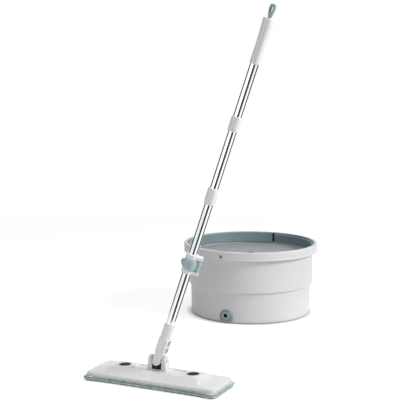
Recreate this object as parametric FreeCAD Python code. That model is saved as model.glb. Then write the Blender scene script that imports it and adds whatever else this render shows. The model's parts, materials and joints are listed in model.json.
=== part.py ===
"""Spin mop: a flat rectangular mop on a telescoping spin pole, and its round bucket.

Millimetres, +Z up. The origin is on the floor at the bucket's axis. +X runs along the mop
head, +Y points from the mop to the bucket. Each sub-part is one node in parts/.
"""
import FreeCAD, Part
import math
import os

V = FreeCAD.Vector
ORIGIN = V(0, 0, 0)
X_AXIS = V(1, 0, 0)
Y_AXIS = V(0, 1, 0)
Z_AXIS = V(0, 0, 1)

# Fits, as radial or face clearances
PRESS_CLEAR = 0.05      # pieces of one body that sit in each other
RUN_CLEAR = 0.10        # a shaft that turns or slides in a bore
BODY_CLEAR = 0.5        # surfaces of different bodies that pass each other
SEAT_CLEAR = 0.3        # loose seats

# Bucket
BUCKET_HEIGHT = 222.0
RIM_RADIUS = 210.0
RIM_WIDTH = 10.0        # flat top of the rim
RIM_LIP = 26.5          # height of the rim's outer lip
BUCKET_WALL = 2.8
WALL_INSET = 15.0       # rim edge to upper wall
STEP_INSET = 7.0        # upper wall to lower wall
STEP_HEIGHT = 95.0
BASE_TAPER = 2.0        # how much the lower wall leans in
BASE_ROUND = 12.0
BASE_THICK = 3.5

# Liner ring and bail handle inside the rim
LINER_HEIGHT = 27.0
LINER_WALL = 2.7
BAIL_WALL = 2.8
BAIL_DEPTH = 31.5
BAIL_TOP_GAP = 0.5      # bail's top below the rim
BAIL_SIDE_GAP = 1.8     # bail to the bucket's wall, which it swings past
BAIL_FLANGE = 2.8
BAIL_PIVOT_X = -9.0
BAIL_PIVOT_RISE = 16.0  # pivot above the bail's lower edge
BAIL_BOSS_RADIUS = 8.0
BAIL_PIN_RADIUS = 3.5
BAIL_PIN_HEAD = 4.6
BAIL_PIN_HEAD_THICK = 1.4

# Spin tray and what carries it
TRAY_GAP = 1.2          # tray edge to the folded bail, past which it lifts out
TRAY_DROP = 4.0         # tray top below the bail's lower edge
TRAY_THICK = 3.0
TRAY_SKIRT = 14.0
TRAY_RIBS = 8
TRAY_RIB_THICK = 2.4
TRAY_EDGE_ROUND = 1.4
SPINDLE_RADIUS = 4.0
SLEEVE_RADIUS = 7.5
BEARING_RADIUS = 14.0
BEARING_WIDTH = 7.0
BEARING_SPACING = 9.0   # gap between the two bearings
CIRCLIP_THICK = 1.2
HUB_WALL = 6.0
HUB_DEPTH = 36.0        # tray top to hub bottom
CAP_RADIUS = 9.0
COLUMN_FOOT = 44.0
COLUMN_TOP = 20.0
COLUMN_WALL = 3.0
COLUMN_FLANGE = 4.0
COLUMN_POST_RADIUS = 6.0
COLUMN_POST_HEIGHT = 9.0
COLUMN_SCREWS = 4
COLUMN_SCREW_LENGTH = 12.0
COLUMN_SCREW_RING = COLUMN_FOOT - 9.0
SPINDLE_SEAT = 40.0     # length of spindle pressed into the column
SCREW_RADIUS = 2.0

# Drain
DRAIN_HEIGHT = 24.0
DRAIN_NECK = 11.0
DRAIN_COLLAR_WIDTH = 41.0
DRAIN_COLLAR_HEIGHT = 34.0
DRAIN_COLLAR_PROUD = 6.0
PLUG_HEAD = 12.5
PLUG_STEM = 8.5
PLUG_CORE = 5.5
PLUG_CORE_DEPTH = 9.0
PLUG_HEAD_THICK = 3.2
PLUG_PROUD = 2.0        # plug head beyond the collar
SEAL_BACK = 11.0        # plug face to the seal's groove
SEAL_WIDTH = 2.2
SEAL_DEPTH = 1.5

# Mop head
HEAD_X = 89.5
HEAD_Y = -794.0
PAD_LENGTH = 363.0
PAD_WIDTH = 131.0
PAD_CORNER = 18.0
PAD_HEIGHT = 12.7
PLATE_INSET = 8.0
PLATE_SKIRT = 8.0
PLATE_WALL = 2.6
SLOPE_RISE = 4.0        # gentle outer slope of the plate
SLOPE_END = 47.5        # run of that slope at the short ends
SLOPE_SIDE = 13.5       # run of that slope at the long sides
PLATFORM_RISE = 9.0     # steep slope up to the platform
PLATFORM_RUN_END = 8.0
PLATFORM_RUN_SIDE = 18.0
HOOK_SHEET = 3.0
HOOK_SHEET_MARGIN = 6.0
PLATFORM_THICK = 4.5
BASE_PLATE = 2.5
DISC_SPACING = 187.0
DISC_RADIUS = 15.2
DISC_BOSS = 24.5
DISC_BOSS_RISE = 0.8
DISC_POCKET = 6.0
DISC_THICK = 2.8
DISC_PROUD = 1.2
SIDE_RECESS_X = 50.0    # shallow recesses each side of the bracket
SIDE_RECESS_LENGTH = 30.0
SIDE_RECESS_WIDTH = 36.0
SIDE_RECESS_CORNER = 6.0
SIDE_RECESS_DEPTH = 2.0
PLATE_RIBS = (-140, -60, 60, 140)
PLATE_RIB_THICK = 2.0

# Two-way pivot between head and pole
PIVOT_RISE = 22.0       # pivot above the platform
EAR_DEPTH = 20.0
EAR_HEIGHT = 36.0
BRACKET_BASE = 51.0
BRACKET_TOP = 44.0
GAP_BASE = 24.2
GAP_TOP = 31.0
GAP_FLOOR = 3.5         # bracket left standing under the gap
BRACKET_SCREW_X = 18.0
BRACKET_SCREW_Y = 6.0
BRACKET_SCREW_LENGTH = 13.0
KNUCKLE = 16.0
KNUCKLE_ROUND = 1.5
KNUCKLE_BOSS_RADIUS = 7.0
TRUNNION_RADIUS = 4.0
KNUCKLE_PIN = 3.0
POLE_LEAN = 19.1        # degrees from upright, towards +X

# Pole, measured along its axis from the pivot
FORK_HALF = 9.5
FORK_ROOF_CLEAR = 0.8   # knuckle's corner to the roof of the fork
BLOCK_START = 21.0
BLOCK_END = 61.0
BLOCK_WIDTH = 26.0
BLOCK_DEPTH = 27.0
SOCKET_END = 102.0
SOCKET_TAPER = 10.0
BLOCK_CORNER = 5.0
POCKET_WIDTH = 17.0
POCKET_DEPTH = 3.5
POCKET_CORNER = 2.0
POCKET_RIM = 2.5        # block left round the pockets
SOCKET_WALL = 2.4
LOWER_TUBE_RADIUS = 11.2
UPPER_TUBE_RADIUS = 10.3
TUBE_WALL = 0.8
LOWER_TUBE_END = 262.0
CLAMP_START = 238.0
CLAMP_END = 286.0
CLAMP_WALL = 3.6
CLAMP_TURN = 25.5       # degrees the lever faces round from -Y towards +X
LEVER_OUT = 9.5         # lever pin beyond the lower tube's surface
LEVER_SIDE = 6.5        # lever pin to the side of the pole's middle
LEVER_KNUCKLE = 5.0
LEVER_GAP = 30.0        # height of the notch that the lever turns in
LEVER_THICK = 3.6
LEVER_TIP = 3.0         # finger tip beyond the curved blade
LEVER_TIP_THICK = 3.4
LEVER_PIN_RADIUS = 2.0
LUG_SIDES = (-11.5, 7.5)  # the clamp's lug, across
LUG_ROUND = 2.5
CLAMP_SLIT = (1.6, 3.2)
CONNECTOR_1 = 414.0
CONNECTOR_1_LENGTH = 40.0
CONNECTOR_1_RADIUS = 13.6
CONNECTOR_2 = 594.0
CONNECTOR_2_LENGTH = 36.0
CONNECTOR_2_RADIUS = 12.9
GRIP_START = 755.0
GRIP_END = 861.0
GRIP_RADIUS = 12.2
GRIP_WAIST = 11.8
GRIP_FLARE = 13.4
GRIP_ROUND = 1.8
GRIP_CAP = 15.0         # solid end of the grip above the tube
HOOK_END = 893.0
HOOK_WIDTH = 15.0
HOOK_THICK = 7.0
HOOK_SLOT = 6.5
HOOK_SLOT_LENGTH = 17.0
HOOK_CROWN = 4.2        # hook above its slot
HOOK_FOOT = 4.0         # half of the hook's width at its foot
HOOK_STEM = 3.0
HOOK_BARB = 4.2
BARB_LENGTH = 3.0
STEM_LENGTH = 12.0      # hook's stem inside the end plug

# Spin drive inside the pole
ROD_WIDTH = 8.0
ROD_THICK = 3.0
ROD_PITCH = 120.0
ROD_TOP = 256.0
ROD_SEAT = 18.0         # length of the rod held in the socket
ROD_PIN = 1.5
ROD_STEPS = 18          # sections in one turn of the rod
SLIDE_TRAVEL = 140.0
NUT_LENGTH = 16.0
NUT_WEB = 2.0
NUT_CLEAR = 0.4
NUT_SHELL = 0.9
NUT_LIP = 1.5
NUT_END_PLAY = 0.2
ROLLER_COUNT = 6
ROLLER_RADIUS = 1.05

# Worked-out sizes that several pieces share
RIM_INNER = RIM_RADIUS - RIM_WIDTH
UPPER_RADIUS = RIM_RADIUS - WALL_INSET
LOWER_RADIUS = UPPER_RADIUS - STEP_INSET
BASE_RADIUS = LOWER_RADIUS - BASE_TAPER
UPPER_INNER = UPPER_RADIUS - BUCKET_WALL
LOWER_INNER = LOWER_RADIUS - BUCKET_WALL
BASE_INNER = BASE_RADIUS - BUCKET_WALL
LEDGE_TOP = BUCKET_HEIGHT - LINER_HEIGHT
LINER_OUTER = RIM_INNER - SEAT_CLEAR
LINER_INNER = LINER_OUTER - LINER_WALL
BAIL_OUTER = UPPER_INNER - BAIL_SIDE_GAP
BAIL_INNER = BAIL_OUTER - BAIL_WALL
BAIL_TOP = BUCKET_HEIGHT - BAIL_TOP_GAP
BAIL_BOTTOM = BAIL_TOP - BAIL_DEPTH
BAIL_PIVOT_Z = BAIL_BOTTOM + BAIL_PIVOT_RISE
DRAIN_FRONT = -BASE_RADIUS - DRAIN_COLLAR_PROUD
PLUG_FRONT = DRAIN_FRONT - PLUG_PROUD
SEAL_START = PLUG_FRONT + SEAL_BACK
SEAL_END = SEAL_START + SEAL_WIDTH
TRAY_RADIUS = BAIL_INNER - TRAY_GAP
TRAY_TOP = BAIL_BOTTOM - TRAY_DROP
HUB_BOTTOM = TRAY_TOP - HUB_DEPTH
SLEEVE_BOTTOM = HUB_BOTTOM + BODY_CLEAR
LOWER_BEARING = SLEEVE_BOTTOM + 2.5
UPPER_BEARING = LOWER_BEARING + BEARING_WIDTH + BEARING_SPACING
COLUMN_HEIGHT = SLEEVE_BOTTOM
PLATE_BOTTOM = PAD_HEIGHT + SEAT_CLEAR
PLATE_EDGE = PLATE_BOTTOM + PLATE_SKIRT
PLATE_SHOULDER = PLATE_EDGE + SLOPE_RISE
PLATFORM_TOP = PLATE_SHOULDER + PLATFORM_RISE
PLATE_LENGTH = PAD_LENGTH - 2 * PLATE_INSET
PLATE_WIDTH = PAD_WIDTH - 2 * PLATE_INSET
PLATE_CORNER = PAD_CORNER - PLATE_INSET / 2
SHEET_LENGTH = PLATE_LENGTH - 2 * HOOK_SHEET_MARGIN
SHEET_WIDTH = PLATE_WIDTH - 2 * HOOK_SHEET_MARGIN
CAVITY_ROOF = PLATFORM_TOP - PLATFORM_THICK
BASE_PLATE_TOP = PLATE_BOTTOM + BASE_PLATE
DISC_SEAT = PLATFORM_TOP - DISC_POCKET
BRACKET_SCREW_SEAT = CAVITY_ROOF - 4.0
BRACKET_SCREWS = [(side * BRACKET_SCREW_X, end * BRACKET_SCREW_Y) for side in (-1, 1) for end in (-1, 1)]
PIVOT_Z = PLATFORM_TOP + PIVOT_RISE
PIVOT = V(HEAD_X, HEAD_Y, PIVOT_Z)
TUBE_FIT = LOWER_TUBE_RADIUS + RUN_CLEAR
SOCKET_RADIUS = TUBE_FIT + SOCKET_WALL
LOWER_TUBE_INNER = LOWER_TUBE_RADIUS - TUBE_WALL
UPPER_TUBE_INNER = UPPER_TUBE_RADIUS - TUBE_WALL
SOCKET_FLOOR = BLOCK_END - 1.0
THRUST_WASHER = 1.4
BUSH_FLANGE = SOCKET_FLOOR + THRUST_WASHER
LOWER_TUBE_START = BUSH_FLANGE + 0.6
BUSH_END = LOWER_TUBE_START + 12.0
ROD_RADIUS = math.hypot(ROD_WIDTH, ROD_THICK) / 2
ROD_HOLE = ROD_RADIUS + BODY_CLEAR
ROD_START = SOCKET_FLOOR - ROD_SEAT
ROD_PIN_HEIGHT = ROD_START + 8.0
LOWER_STOP = BUSH_END + 0.2
UPPER_TUBE_START = LOWER_STOP + 5.8
NUT_END = UPPER_TUBE_START + NUT_LENGTH
NUT_MIDDLE = UPPER_TUBE_START + 4.0
UPPER_STOP = NUT_END + SLIDE_TRAVEL + 2.0
STOP_WASHER = 1.2
STOP_PIN = 1.0
UPPER_TUBE_END = GRIP_END - GRIP_CAP
CLAMP_MIDDLE = (CLAMP_START + CLAMP_END) / 2
CLAMP_RADIUS = LOWER_TUBE_RADIUS + CLAMP_WALL
LEVER_PIVOT = V(LOWER_TUBE_RADIUS + LEVER_OUT, -LEVER_SIDE, 0)


# ---------------------------------------------------------------- basic shapes

def rod(radius, start, end, x=0.0, y=0.0):
    """Solid cylinder along Z."""
    return Part.makeCylinder(radius, end - start, V(x, y, start))


def ring(outer, inner, start, end, x=0.0, y=0.0):
    return rod(outer, start, end, x, y).cut(rod(inner, start - 1, end + 1, x, y))


def rod_x(radius, start, end, y=0.0, z=0.0):
    return Part.makeCylinder(radius, end - start, V(start, y, z), X_AXIS)


def rod_y(radius, start, end, x=0.0, z=0.0):
    return Part.makeCylinder(radius, end - start, V(x, start, z), Y_AXIS)


def block(x0, x1, y0, y1, z0, z1):
    return Part.makeBox(x1 - x0, y1 - y0, z1 - z0, V(x0, y0, z0))


def turned(points):
    """Solid of revolution about Z from (radius, height) points."""
    corners = [V(radius, 0, height) for radius, height in points]
    outline = Part.makePolygon(corners + corners[:1])
    return Part.Face(outline).revolve(ORIGIN, Z_AXIS, 360)


def prism_y(points, depth):
    """Prism of an (x, z) outline, centred on y = 0."""
    corners = [V(x, -depth / 2, z) for x, z in points]
    outline = Part.makePolygon(corners + corners[:1])
    return Part.Face(outline).extrude(V(0, depth, 0))


def rounded_outline(length, width, corner, z):
    """Closed rectangle with round corners, centred on the Z axis."""
    half_x = length / 2
    half_y = width / 2
    edges = []
    for turn, run, rise in ((0, half_x, half_y), (90, half_y, half_x),
                            (180, half_x, half_y), (270, half_y, half_x)):
        side = Part.LineSegment(V(run, corner - rise, z), V(run, rise - corner, z)).toShape()
        bend = Part.makeCircle(corner, V(run - corner, rise - corner, z), Z_AXIS, 0, 90)
        for edge in (side, bend):
            edge.rotate(V(0, 0, z), Z_AXIS, turn)
            edges.append(edge)
    return Part.Wire(edges)


def slab(length, width, corner, z0, z1):
    outline = rounded_outline(length, width, corner, z0)
    return Part.Face(outline).extrude(V(0, 0, z1 - z0))


def lofted(*outlines):
    return Part.makeLoft(list(outlines), True, True)


def joined(shapes):
    """One solid from several that touch."""
    shapes = list(shapes)
    return shapes[0].fuse(shapes[1:]).removeSplitter()


def around(shape, count, start=0.0):
    """Copies of a shape, evenly turned about Z."""
    copies = []
    for index in range(count):
        copy = shape.copy()
        copy.rotate(ORIGIN, Z_AXIS, start + 360.0 * index / count)
        copies.append(copy)
    return copies


def on_head(shape):
    """Move a piece drawn about the origin to the mop head's centre."""
    moved = shape.copy()
    moved.translate(V(HEAD_X, HEAD_Y, 0))
    return moved


def on_pole(shape, turn=0.0):
    """Stand a piece drawn along Z on the leaning pole, turned about the pole first."""
    moved = shape.copy()
    moved.rotate(ORIGIN, Z_AXIS, turn)
    moved.rotate(ORIGIN, Y_AXIS, POLE_LEAN)
    moved.translate(PIVOT)
    return moved


def pan_screw(length, head_up=True):
    """Screw with a pan head; its bearing face is at z = 0."""
    shank = rod(SCREW_RADIUS, -length, 0)
    head = rod(2 * SCREW_RADIUS, 0, 1.2 * SCREW_RADIUS)
    recess = rod(0.8 * SCREW_RADIUS, 0.5 * SCREW_RADIUS, 2 * SCREW_RADIUS)
    screw = joined([shank, head]).cut(recess)
    if not head_up:
        screw.rotate(ORIGIN, X_AXIS, 180)
    return screw


# ---------------------------------------------------------------- bucket

def bucket_outer(extra=0.0):
    """Solid of the bucket's outside below the rim, grown by a margin."""
    radius = BASE_RADIUS + extra
    body = turned([(0, -extra), (radius, -extra), (LOWER_RADIUS + extra, STEP_HEIGHT),
                   (UPPER_RADIUS + extra, STEP_HEIGHT), (UPPER_RADIUS + extra, LEDGE_TOP), (0, LEDGE_TOP)])
    foot = [edge for edge in body.Edges if abs(edge.BoundBox.ZMax + extra) < 0.01 and edge.Length > radius]
    return body.makeFillet(BASE_ROUND, foot)


def bucket_inner():
    """Solid of the bucket's hollow, from the floor to above the rim."""
    lower = turned([(0, BASE_THICK), (BASE_INNER, BASE_THICK), (LOWER_INNER, STEP_HEIGHT),
                    (UPPER_INNER, STEP_HEIGHT + BUCKET_WALL), (UPPER_INNER, LEDGE_TOP + 1),
                    (0, LEDGE_TOP + 1)])
    foot = [edge for edge in lower.Edges
            if abs(edge.BoundBox.ZMax - BASE_THICK) < 0.01 and edge.Length > BASE_INNER]
    lower = lower.makeFillet(BASE_ROUND - BUCKET_WALL, foot)
    return lower.fuse(rod(RIM_INNER, LEDGE_TOP, BUCKET_HEIGHT + 1))


def pin_cuts(radius):
    """Bores for the two bail pins, through everything at the front and back."""
    return rod_y(radius, -RIM_RADIUS - 5, RIM_RADIUS + 5, BAIL_PIVOT_X, BAIL_PIVOT_Z)


def make_bucket_shell():
    rim_wall = RIM_INNER + BUCKET_WALL
    rim = turned([(UPPER_INNER, LEDGE_TOP - BUCKET_WALL), (rim_wall, LEDGE_TOP - BUCKET_WALL),
                  (rim_wall, BUCKET_HEIGHT - BUCKET_WALL),
                  (RIM_RADIUS - BUCKET_WALL, BUCKET_HEIGHT - BUCKET_WALL),
                  (RIM_RADIUS - BUCKET_WALL, BUCKET_HEIGHT - RIM_LIP), (RIM_RADIUS, BUCKET_HEIGHT - RIM_LIP),
                  (RIM_RADIUS, BUCKET_HEIGHT), (UPPER_INNER, BUCKET_HEIGHT)])
    edge = [e for e in rim.Edges if abs(e.BoundBox.ZMin - BUCKET_HEIGHT) < 0.01
            and abs(e.BoundBox.XMax - RIM_RADIUS) < 0.01 and e.Length > RIM_RADIUS]
    rim = rim.makeFillet(BUCKET_WALL * 0.9, edge)
    shell = bucket_outer().fuse(rim).cut(bucket_inner())
    foot_boss = ring(COLUMN_FOOT + 3, COLUMN_FOOT + SEAT_CLEAR, BASE_THICK - 1, BASE_THICK + 5)
    post = rod(COLUMN_POST_RADIUS, BASE_THICK - 1, BASE_THICK + COLUMN_POST_HEIGHT, COLUMN_SCREW_RING)
    shell = shell.fuse([foot_boss] + around(post, COLUMN_SCREWS, 45))
    pilot_end = BASE_THICK + COLUMN_POST_HEIGHT + 1
    pilot = rod(SCREW_RADIUS + PRESS_CLEAR, BASE_THICK - 1.5, pilot_end, COLUMN_SCREW_RING)
    pilots = around(pilot, COLUMN_SCREWS, 45)
    drain = rod_y(DRAIN_NECK + PRESS_CLEAR, -RIM_RADIUS, -BASE_INNER + 20, 0, DRAIN_HEIGHT)
    return shell.cut(pilots + [drain, pin_cuts(BAIL_PIN_RADIUS + PRESS_CLEAR)]).removeSplitter()


def make_rim_liner():
    liner = ring(LINER_OUTER, LINER_INNER, LEDGE_TOP, BUCKET_HEIGHT - SEAT_CLEAR)
    return liner.cut(pin_cuts(BAIL_PIN_RADIUS + PRESS_CLEAR))


def make_bail_handle():
    web = ring(BAIL_OUTER, BAIL_INNER, BAIL_BOTTOM, BAIL_TOP)
    web_end = BAIL_PIVOT_X + BAIL_BOSS_RADIUS
    web = web.common(block(-RIM_RADIUS, web_end, -RIM_RADIUS, RIM_RADIUS, 0, BUCKET_HEIGHT))
    flange = ring(LINER_INNER - BODY_CLEAR, BAIL_INNER, BAIL_TOP - BAIL_FLANGE, BAIL_TOP)
    flange_end = BAIL_PIVOT_X - 2 * BAIL_BOSS_RADIUS
    flange = flange.common(block(-RIM_RADIUS, flange_end, -RIM_RADIUS, RIM_RADIUS, 0, BUCKET_HEIGHT))
    boss_end = math.sqrt((LINER_INNER - BODY_CLEAR) ** 2 - (abs(BAIL_PIVOT_X) + BAIL_BOSS_RADIUS) ** 2)
    boss_start = BAIL_INNER + BAIL_WALL / 2
    bosses = [rod_y(BAIL_BOSS_RADIUS, boss_start, boss_end, BAIL_PIVOT_X, BAIL_PIVOT_Z),
              rod_y(BAIL_BOSS_RADIUS, -boss_end, -boss_start, BAIL_PIVOT_X, BAIL_PIVOT_Z)]
    handle = joined([web, flange] + bosses)
    return handle.cut(pin_cuts(BAIL_PIN_RADIUS + RUN_CLEAR))


def make_bail_pins():
    inner = BAIL_INNER + 0.2
    pins = []
    for side in (-1, 1):
        shank = rod_y(BAIL_PIN_RADIUS, inner, RIM_RADIUS + 0.1, BAIL_PIVOT_X, BAIL_PIVOT_Z)
        head = rod_y(BAIL_PIN_HEAD, RIM_RADIUS, RIM_RADIUS + BAIL_PIN_HEAD_THICK, BAIL_PIVOT_X, BAIL_PIVOT_Z)
        pin = joined([shank, head])
        if side < 0:
            pin = pin.mirror(ORIGIN, Y_AXIS)
        pins.append(pin)
    return Part.makeCompound(pins)


def make_centre_column():
    foot = BASE_THICK + COLUMN_POST_HEIGHT
    flange_top = foot + COLUMN_FLANGE
    bore = COLUMN_TOP - COLUMN_WALL
    outside = turned([(0, foot), (COLUMN_FOOT, foot), (COLUMN_FOOT, flange_top),
                      (COLUMN_FOOT - 14, flange_top), (COLUMN_TOP, COLUMN_HEIGHT - 12),
                      (COLUMN_TOP, COLUMN_HEIGHT), (0, COLUMN_HEIGHT)])
    inside = turned([(0, foot - 1), (COLUMN_FOOT - 19, foot - 1), (bore, COLUMN_HEIGHT - 14),
                     (bore, COLUMN_HEIGHT - 10), (0, COLUMN_HEIGHT - 10)])
    seat = COLUMN_HEIGHT - SPINDLE_SEAT
    socket = rod(SPINDLE_RADIUS + COLUMN_WALL, seat - 5, COLUMN_HEIGHT - 5)
    column = joined([outside.cut(inside), socket])
    column = column.cut(rod(SPINDLE_RADIUS + PRESS_CLEAR, seat, COLUMN_HEIGHT + 1))
    hole = rod(SCREW_RADIUS + SEAT_CLEAR, 0, flange_top + 1, COLUMN_SCREW_RING)
    return column.cut(around(hole, COLUMN_SCREWS, 45))


def make_column_screws():
    screw = pan_screw(COLUMN_SCREW_LENGTH)
    screw.translate(V(COLUMN_SCREW_RING, 0, BASE_THICK + COLUMN_POST_HEIGHT + COLUMN_FLANGE))
    return Part.makeCompound(around(screw, COLUMN_SCREWS, 45))


def make_spindle():
    return rod(SPINDLE_RADIUS, COLUMN_HEIGHT - SPINDLE_SEAT, UPPER_BEARING + BEARING_WIDTH + 1)


def make_tray_sleeve():
    tube = ring(SLEEVE_RADIUS, SPINDLE_RADIUS + RUN_CLEAR, SLEEVE_BOTTOM,
                UPPER_BEARING + BEARING_WIDTH + CIRCLIP_THICK + 0.2)
    collar = ring(SLEEVE_RADIUS + 3, SPINDLE_RADIUS + RUN_CLEAR, SLEEVE_BOTTOM, LOWER_BEARING)
    return joined([tube, collar])


def make_tray_bearings():
    races = []
    for height in (LOWER_BEARING, UPPER_BEARING):
        races.append(ring(BEARING_RADIUS, SLEEVE_RADIUS + PRESS_CLEAR, height, height + BEARING_WIDTH))
    return Part.makeCompound(races)


def make_bearing_spacer():
    return ring(SLEEVE_RADIUS + 2, SLEEVE_RADIUS + PRESS_CLEAR, LOWER_BEARING + BEARING_WIDTH, UPPER_BEARING)


def make_tray_circlip():
    top = UPPER_BEARING + BEARING_WIDTH
    return ring(SLEEVE_RADIUS + 2, SLEEVE_RADIUS + PRESS_CLEAR, top, top + CIRCLIP_THICK)


def make_spin_tray():
    disc = rod(TRAY_RADIUS, TRAY_TOP - TRAY_THICK, TRAY_TOP)
    skirt = ring(TRAY_RADIUS, TRAY_RADIUS - TRAY_THICK, TRAY_TOP - TRAY_SKIRT, TRAY_TOP - 1)
    hub_radius = BEARING_RADIUS + HUB_WALL
    hub = rod(hub_radius, HUB_BOTTOM + BODY_CLEAR, TRAY_TOP - 1)
    rib = block(hub_radius - 1, TRAY_RADIUS - 2, -TRAY_RIB_THICK / 2, TRAY_RIB_THICK / 2,
                TRAY_TOP - TRAY_SKIRT, TRAY_TOP - 1)
    tray = joined([disc, skirt, hub] + around(rib, TRAY_RIBS, 22.5))
    shoulder = UPPER_BEARING + BEARING_WIDTH + RUN_CLEAR
    bore = rod(BEARING_RADIUS + RUN_CLEAR, HUB_BOTTOM, shoulder)
    relief = rod(BEARING_RADIUS - 2, shoulder - 1, shoulder + 3)
    cap_seat = rod(CAP_RADIUS + PRESS_CLEAR, shoulder, TRAY_TOP + 1)
    tray = tray.cut([bore, relief, cap_seat])
    edge = [e for e in tray.Edges if abs(e.BoundBox.ZMin - TRAY_TOP) < 0.01 and e.Length > 4 * TRAY_RADIUS]
    return tray.makeFillet(TRAY_EDGE_ROUND, edge)


def make_hub_cap():
    top = rod(CAP_RADIUS - 1, TRAY_TOP - 3, TRAY_TOP + 1)
    plug = rod(CAP_RADIUS, TRAY_TOP - 3, TRAY_TOP)
    return joined([top, plug])


def make_drain_collar():
    half_width = DRAIN_COLLAR_WIDTH / 2
    half_height = DRAIN_COLLAR_HEIGHT / 2
    shoulder = half_width * 0.5
    outline = [(-half_width, -half_height), (half_width, -half_height), (half_width, half_height * 0.2),
               (shoulder, half_height), (-shoulder, half_height), (-half_width, half_height * 0.2)]
    body = prism_y(outline, 30)
    body = body.makeFillet(3.0, [e for e in body.Edges if e.BoundBox.YLength > 20])
    body.translate(V(0, DRAIN_FRONT + 15, DRAIN_HEIGHT))
    body = body.cut(bucket_outer(PRESS_CLEAR))
    neck = rod_y(DRAIN_NECK, DRAIN_FRONT + 2, -BASE_INNER + 5, 0, DRAIN_HEIGHT)
    collar = body.fuse(neck)
    bore = rod_y(PLUG_STEM + RUN_CLEAR, DRAIN_FRONT - 1, -BASE_INNER + 6, 0, DRAIN_HEIGHT)
    seat_depth = PLUG_HEAD_THICK - PLUG_PROUD + SEAT_CLEAR
    seat = rod_y(PLUG_HEAD + BODY_CLEAR, DRAIN_FRONT - 1, DRAIN_FRONT + seat_depth, 0, DRAIN_HEIGHT)
    return collar.cut([bore, seat])


def make_drain_nut():
    start = -BASE_INNER + 1.5
    nut = rod_y(DRAIN_NECK + 3, start, start + 3.5, 0, DRAIN_HEIGHT)
    return nut.cut(rod_y(DRAIN_NECK + PRESS_CLEAR, start - 1, start + 5, 0, DRAIN_HEIGHT))


def make_drain_plug():
    head = rod_y(PLUG_HEAD, PLUG_FRONT, PLUG_FRONT + PLUG_HEAD_THICK, 0, DRAIN_HEIGHT)
    stem = rod_y(PLUG_STEM, PLUG_FRONT + 2, -BASE_INNER + 5, 0, DRAIN_HEIGHT)
    core = rod_y(PLUG_CORE, PLUG_FRONT - 1, PLUG_FRONT + PLUG_CORE_DEPTH, 0, DRAIN_HEIGHT)
    groove = rod_y(PLUG_STEM + 1, SEAL_START, SEAL_END, 0, DRAIN_HEIGHT)
    groove = groove.cut(rod_y(PLUG_STEM - SEAL_DEPTH, SEAL_START - 1, SEAL_END + 1, 0, DRAIN_HEIGHT))
    return joined([head, stem]).cut([core, groove])


def make_drain_seal():
    seal = rod_y(PLUG_STEM, SEAL_START, SEAL_END, 0, DRAIN_HEIGHT)
    bore = PLUG_STEM - SEAL_DEPTH + PRESS_CLEAR
    return seal.cut(rod_y(bore, SEAL_START - 1, SEAL_END + 1, 0, DRAIN_HEIGHT))


# ---------------------------------------------------------------- mop head

def make_mop_pad():
    pad = slab(PAD_LENGTH, PAD_WIDTH, PAD_CORNER, 0, PAD_HEIGHT)
    pocket = slab(SHEET_LENGTH + 2 * SEAT_CLEAR, SHEET_WIDTH + 2 * SEAT_CLEAR, PLATE_CORNER,
                  PLATE_BOTTOM - HOOK_SHEET - SEAT_CLEAR, PAD_HEIGHT + 1)
    return on_head(pad.cut(pocket))


def make_hook_sheet():
    return on_head(slab(SHEET_LENGTH, SHEET_WIDTH, PLATE_CORNER, PLATE_BOTTOM - HOOK_SHEET, PLATE_BOTTOM))


def plate_form(inset, bottom, drop, platform):
    """Skirt, gentle slope and platform of the head plate; inset and drop make its hollow."""
    length = PLATE_LENGTH - 2 * inset
    width = PLATE_WIDTH - 2 * inset
    mid_length = PLATE_LENGTH - 2 * SLOPE_END - 2 * inset
    mid_width = PLATE_WIDTH - 2 * SLOPE_SIDE - 2 * inset
    top_length = mid_length - 2 * PLATFORM_RUN_END
    top_width = mid_width - 2 * PLATFORM_RUN_SIDE
    corner = PLATE_CORNER - inset / 2
    skirt = slab(length, width, corner, bottom, PLATE_EDGE - drop)
    slope = lofted(rounded_outline(length, width, corner, PLATE_EDGE - drop),
                   rounded_outline(mid_length, mid_width, corner, PLATE_SHOULDER - drop))
    rise = lofted(rounded_outline(mid_length, mid_width, corner, PLATE_SHOULDER - drop),
                  rounded_outline(top_length, top_width, corner, platform))
    return joined([skirt, slope, rise])


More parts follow.
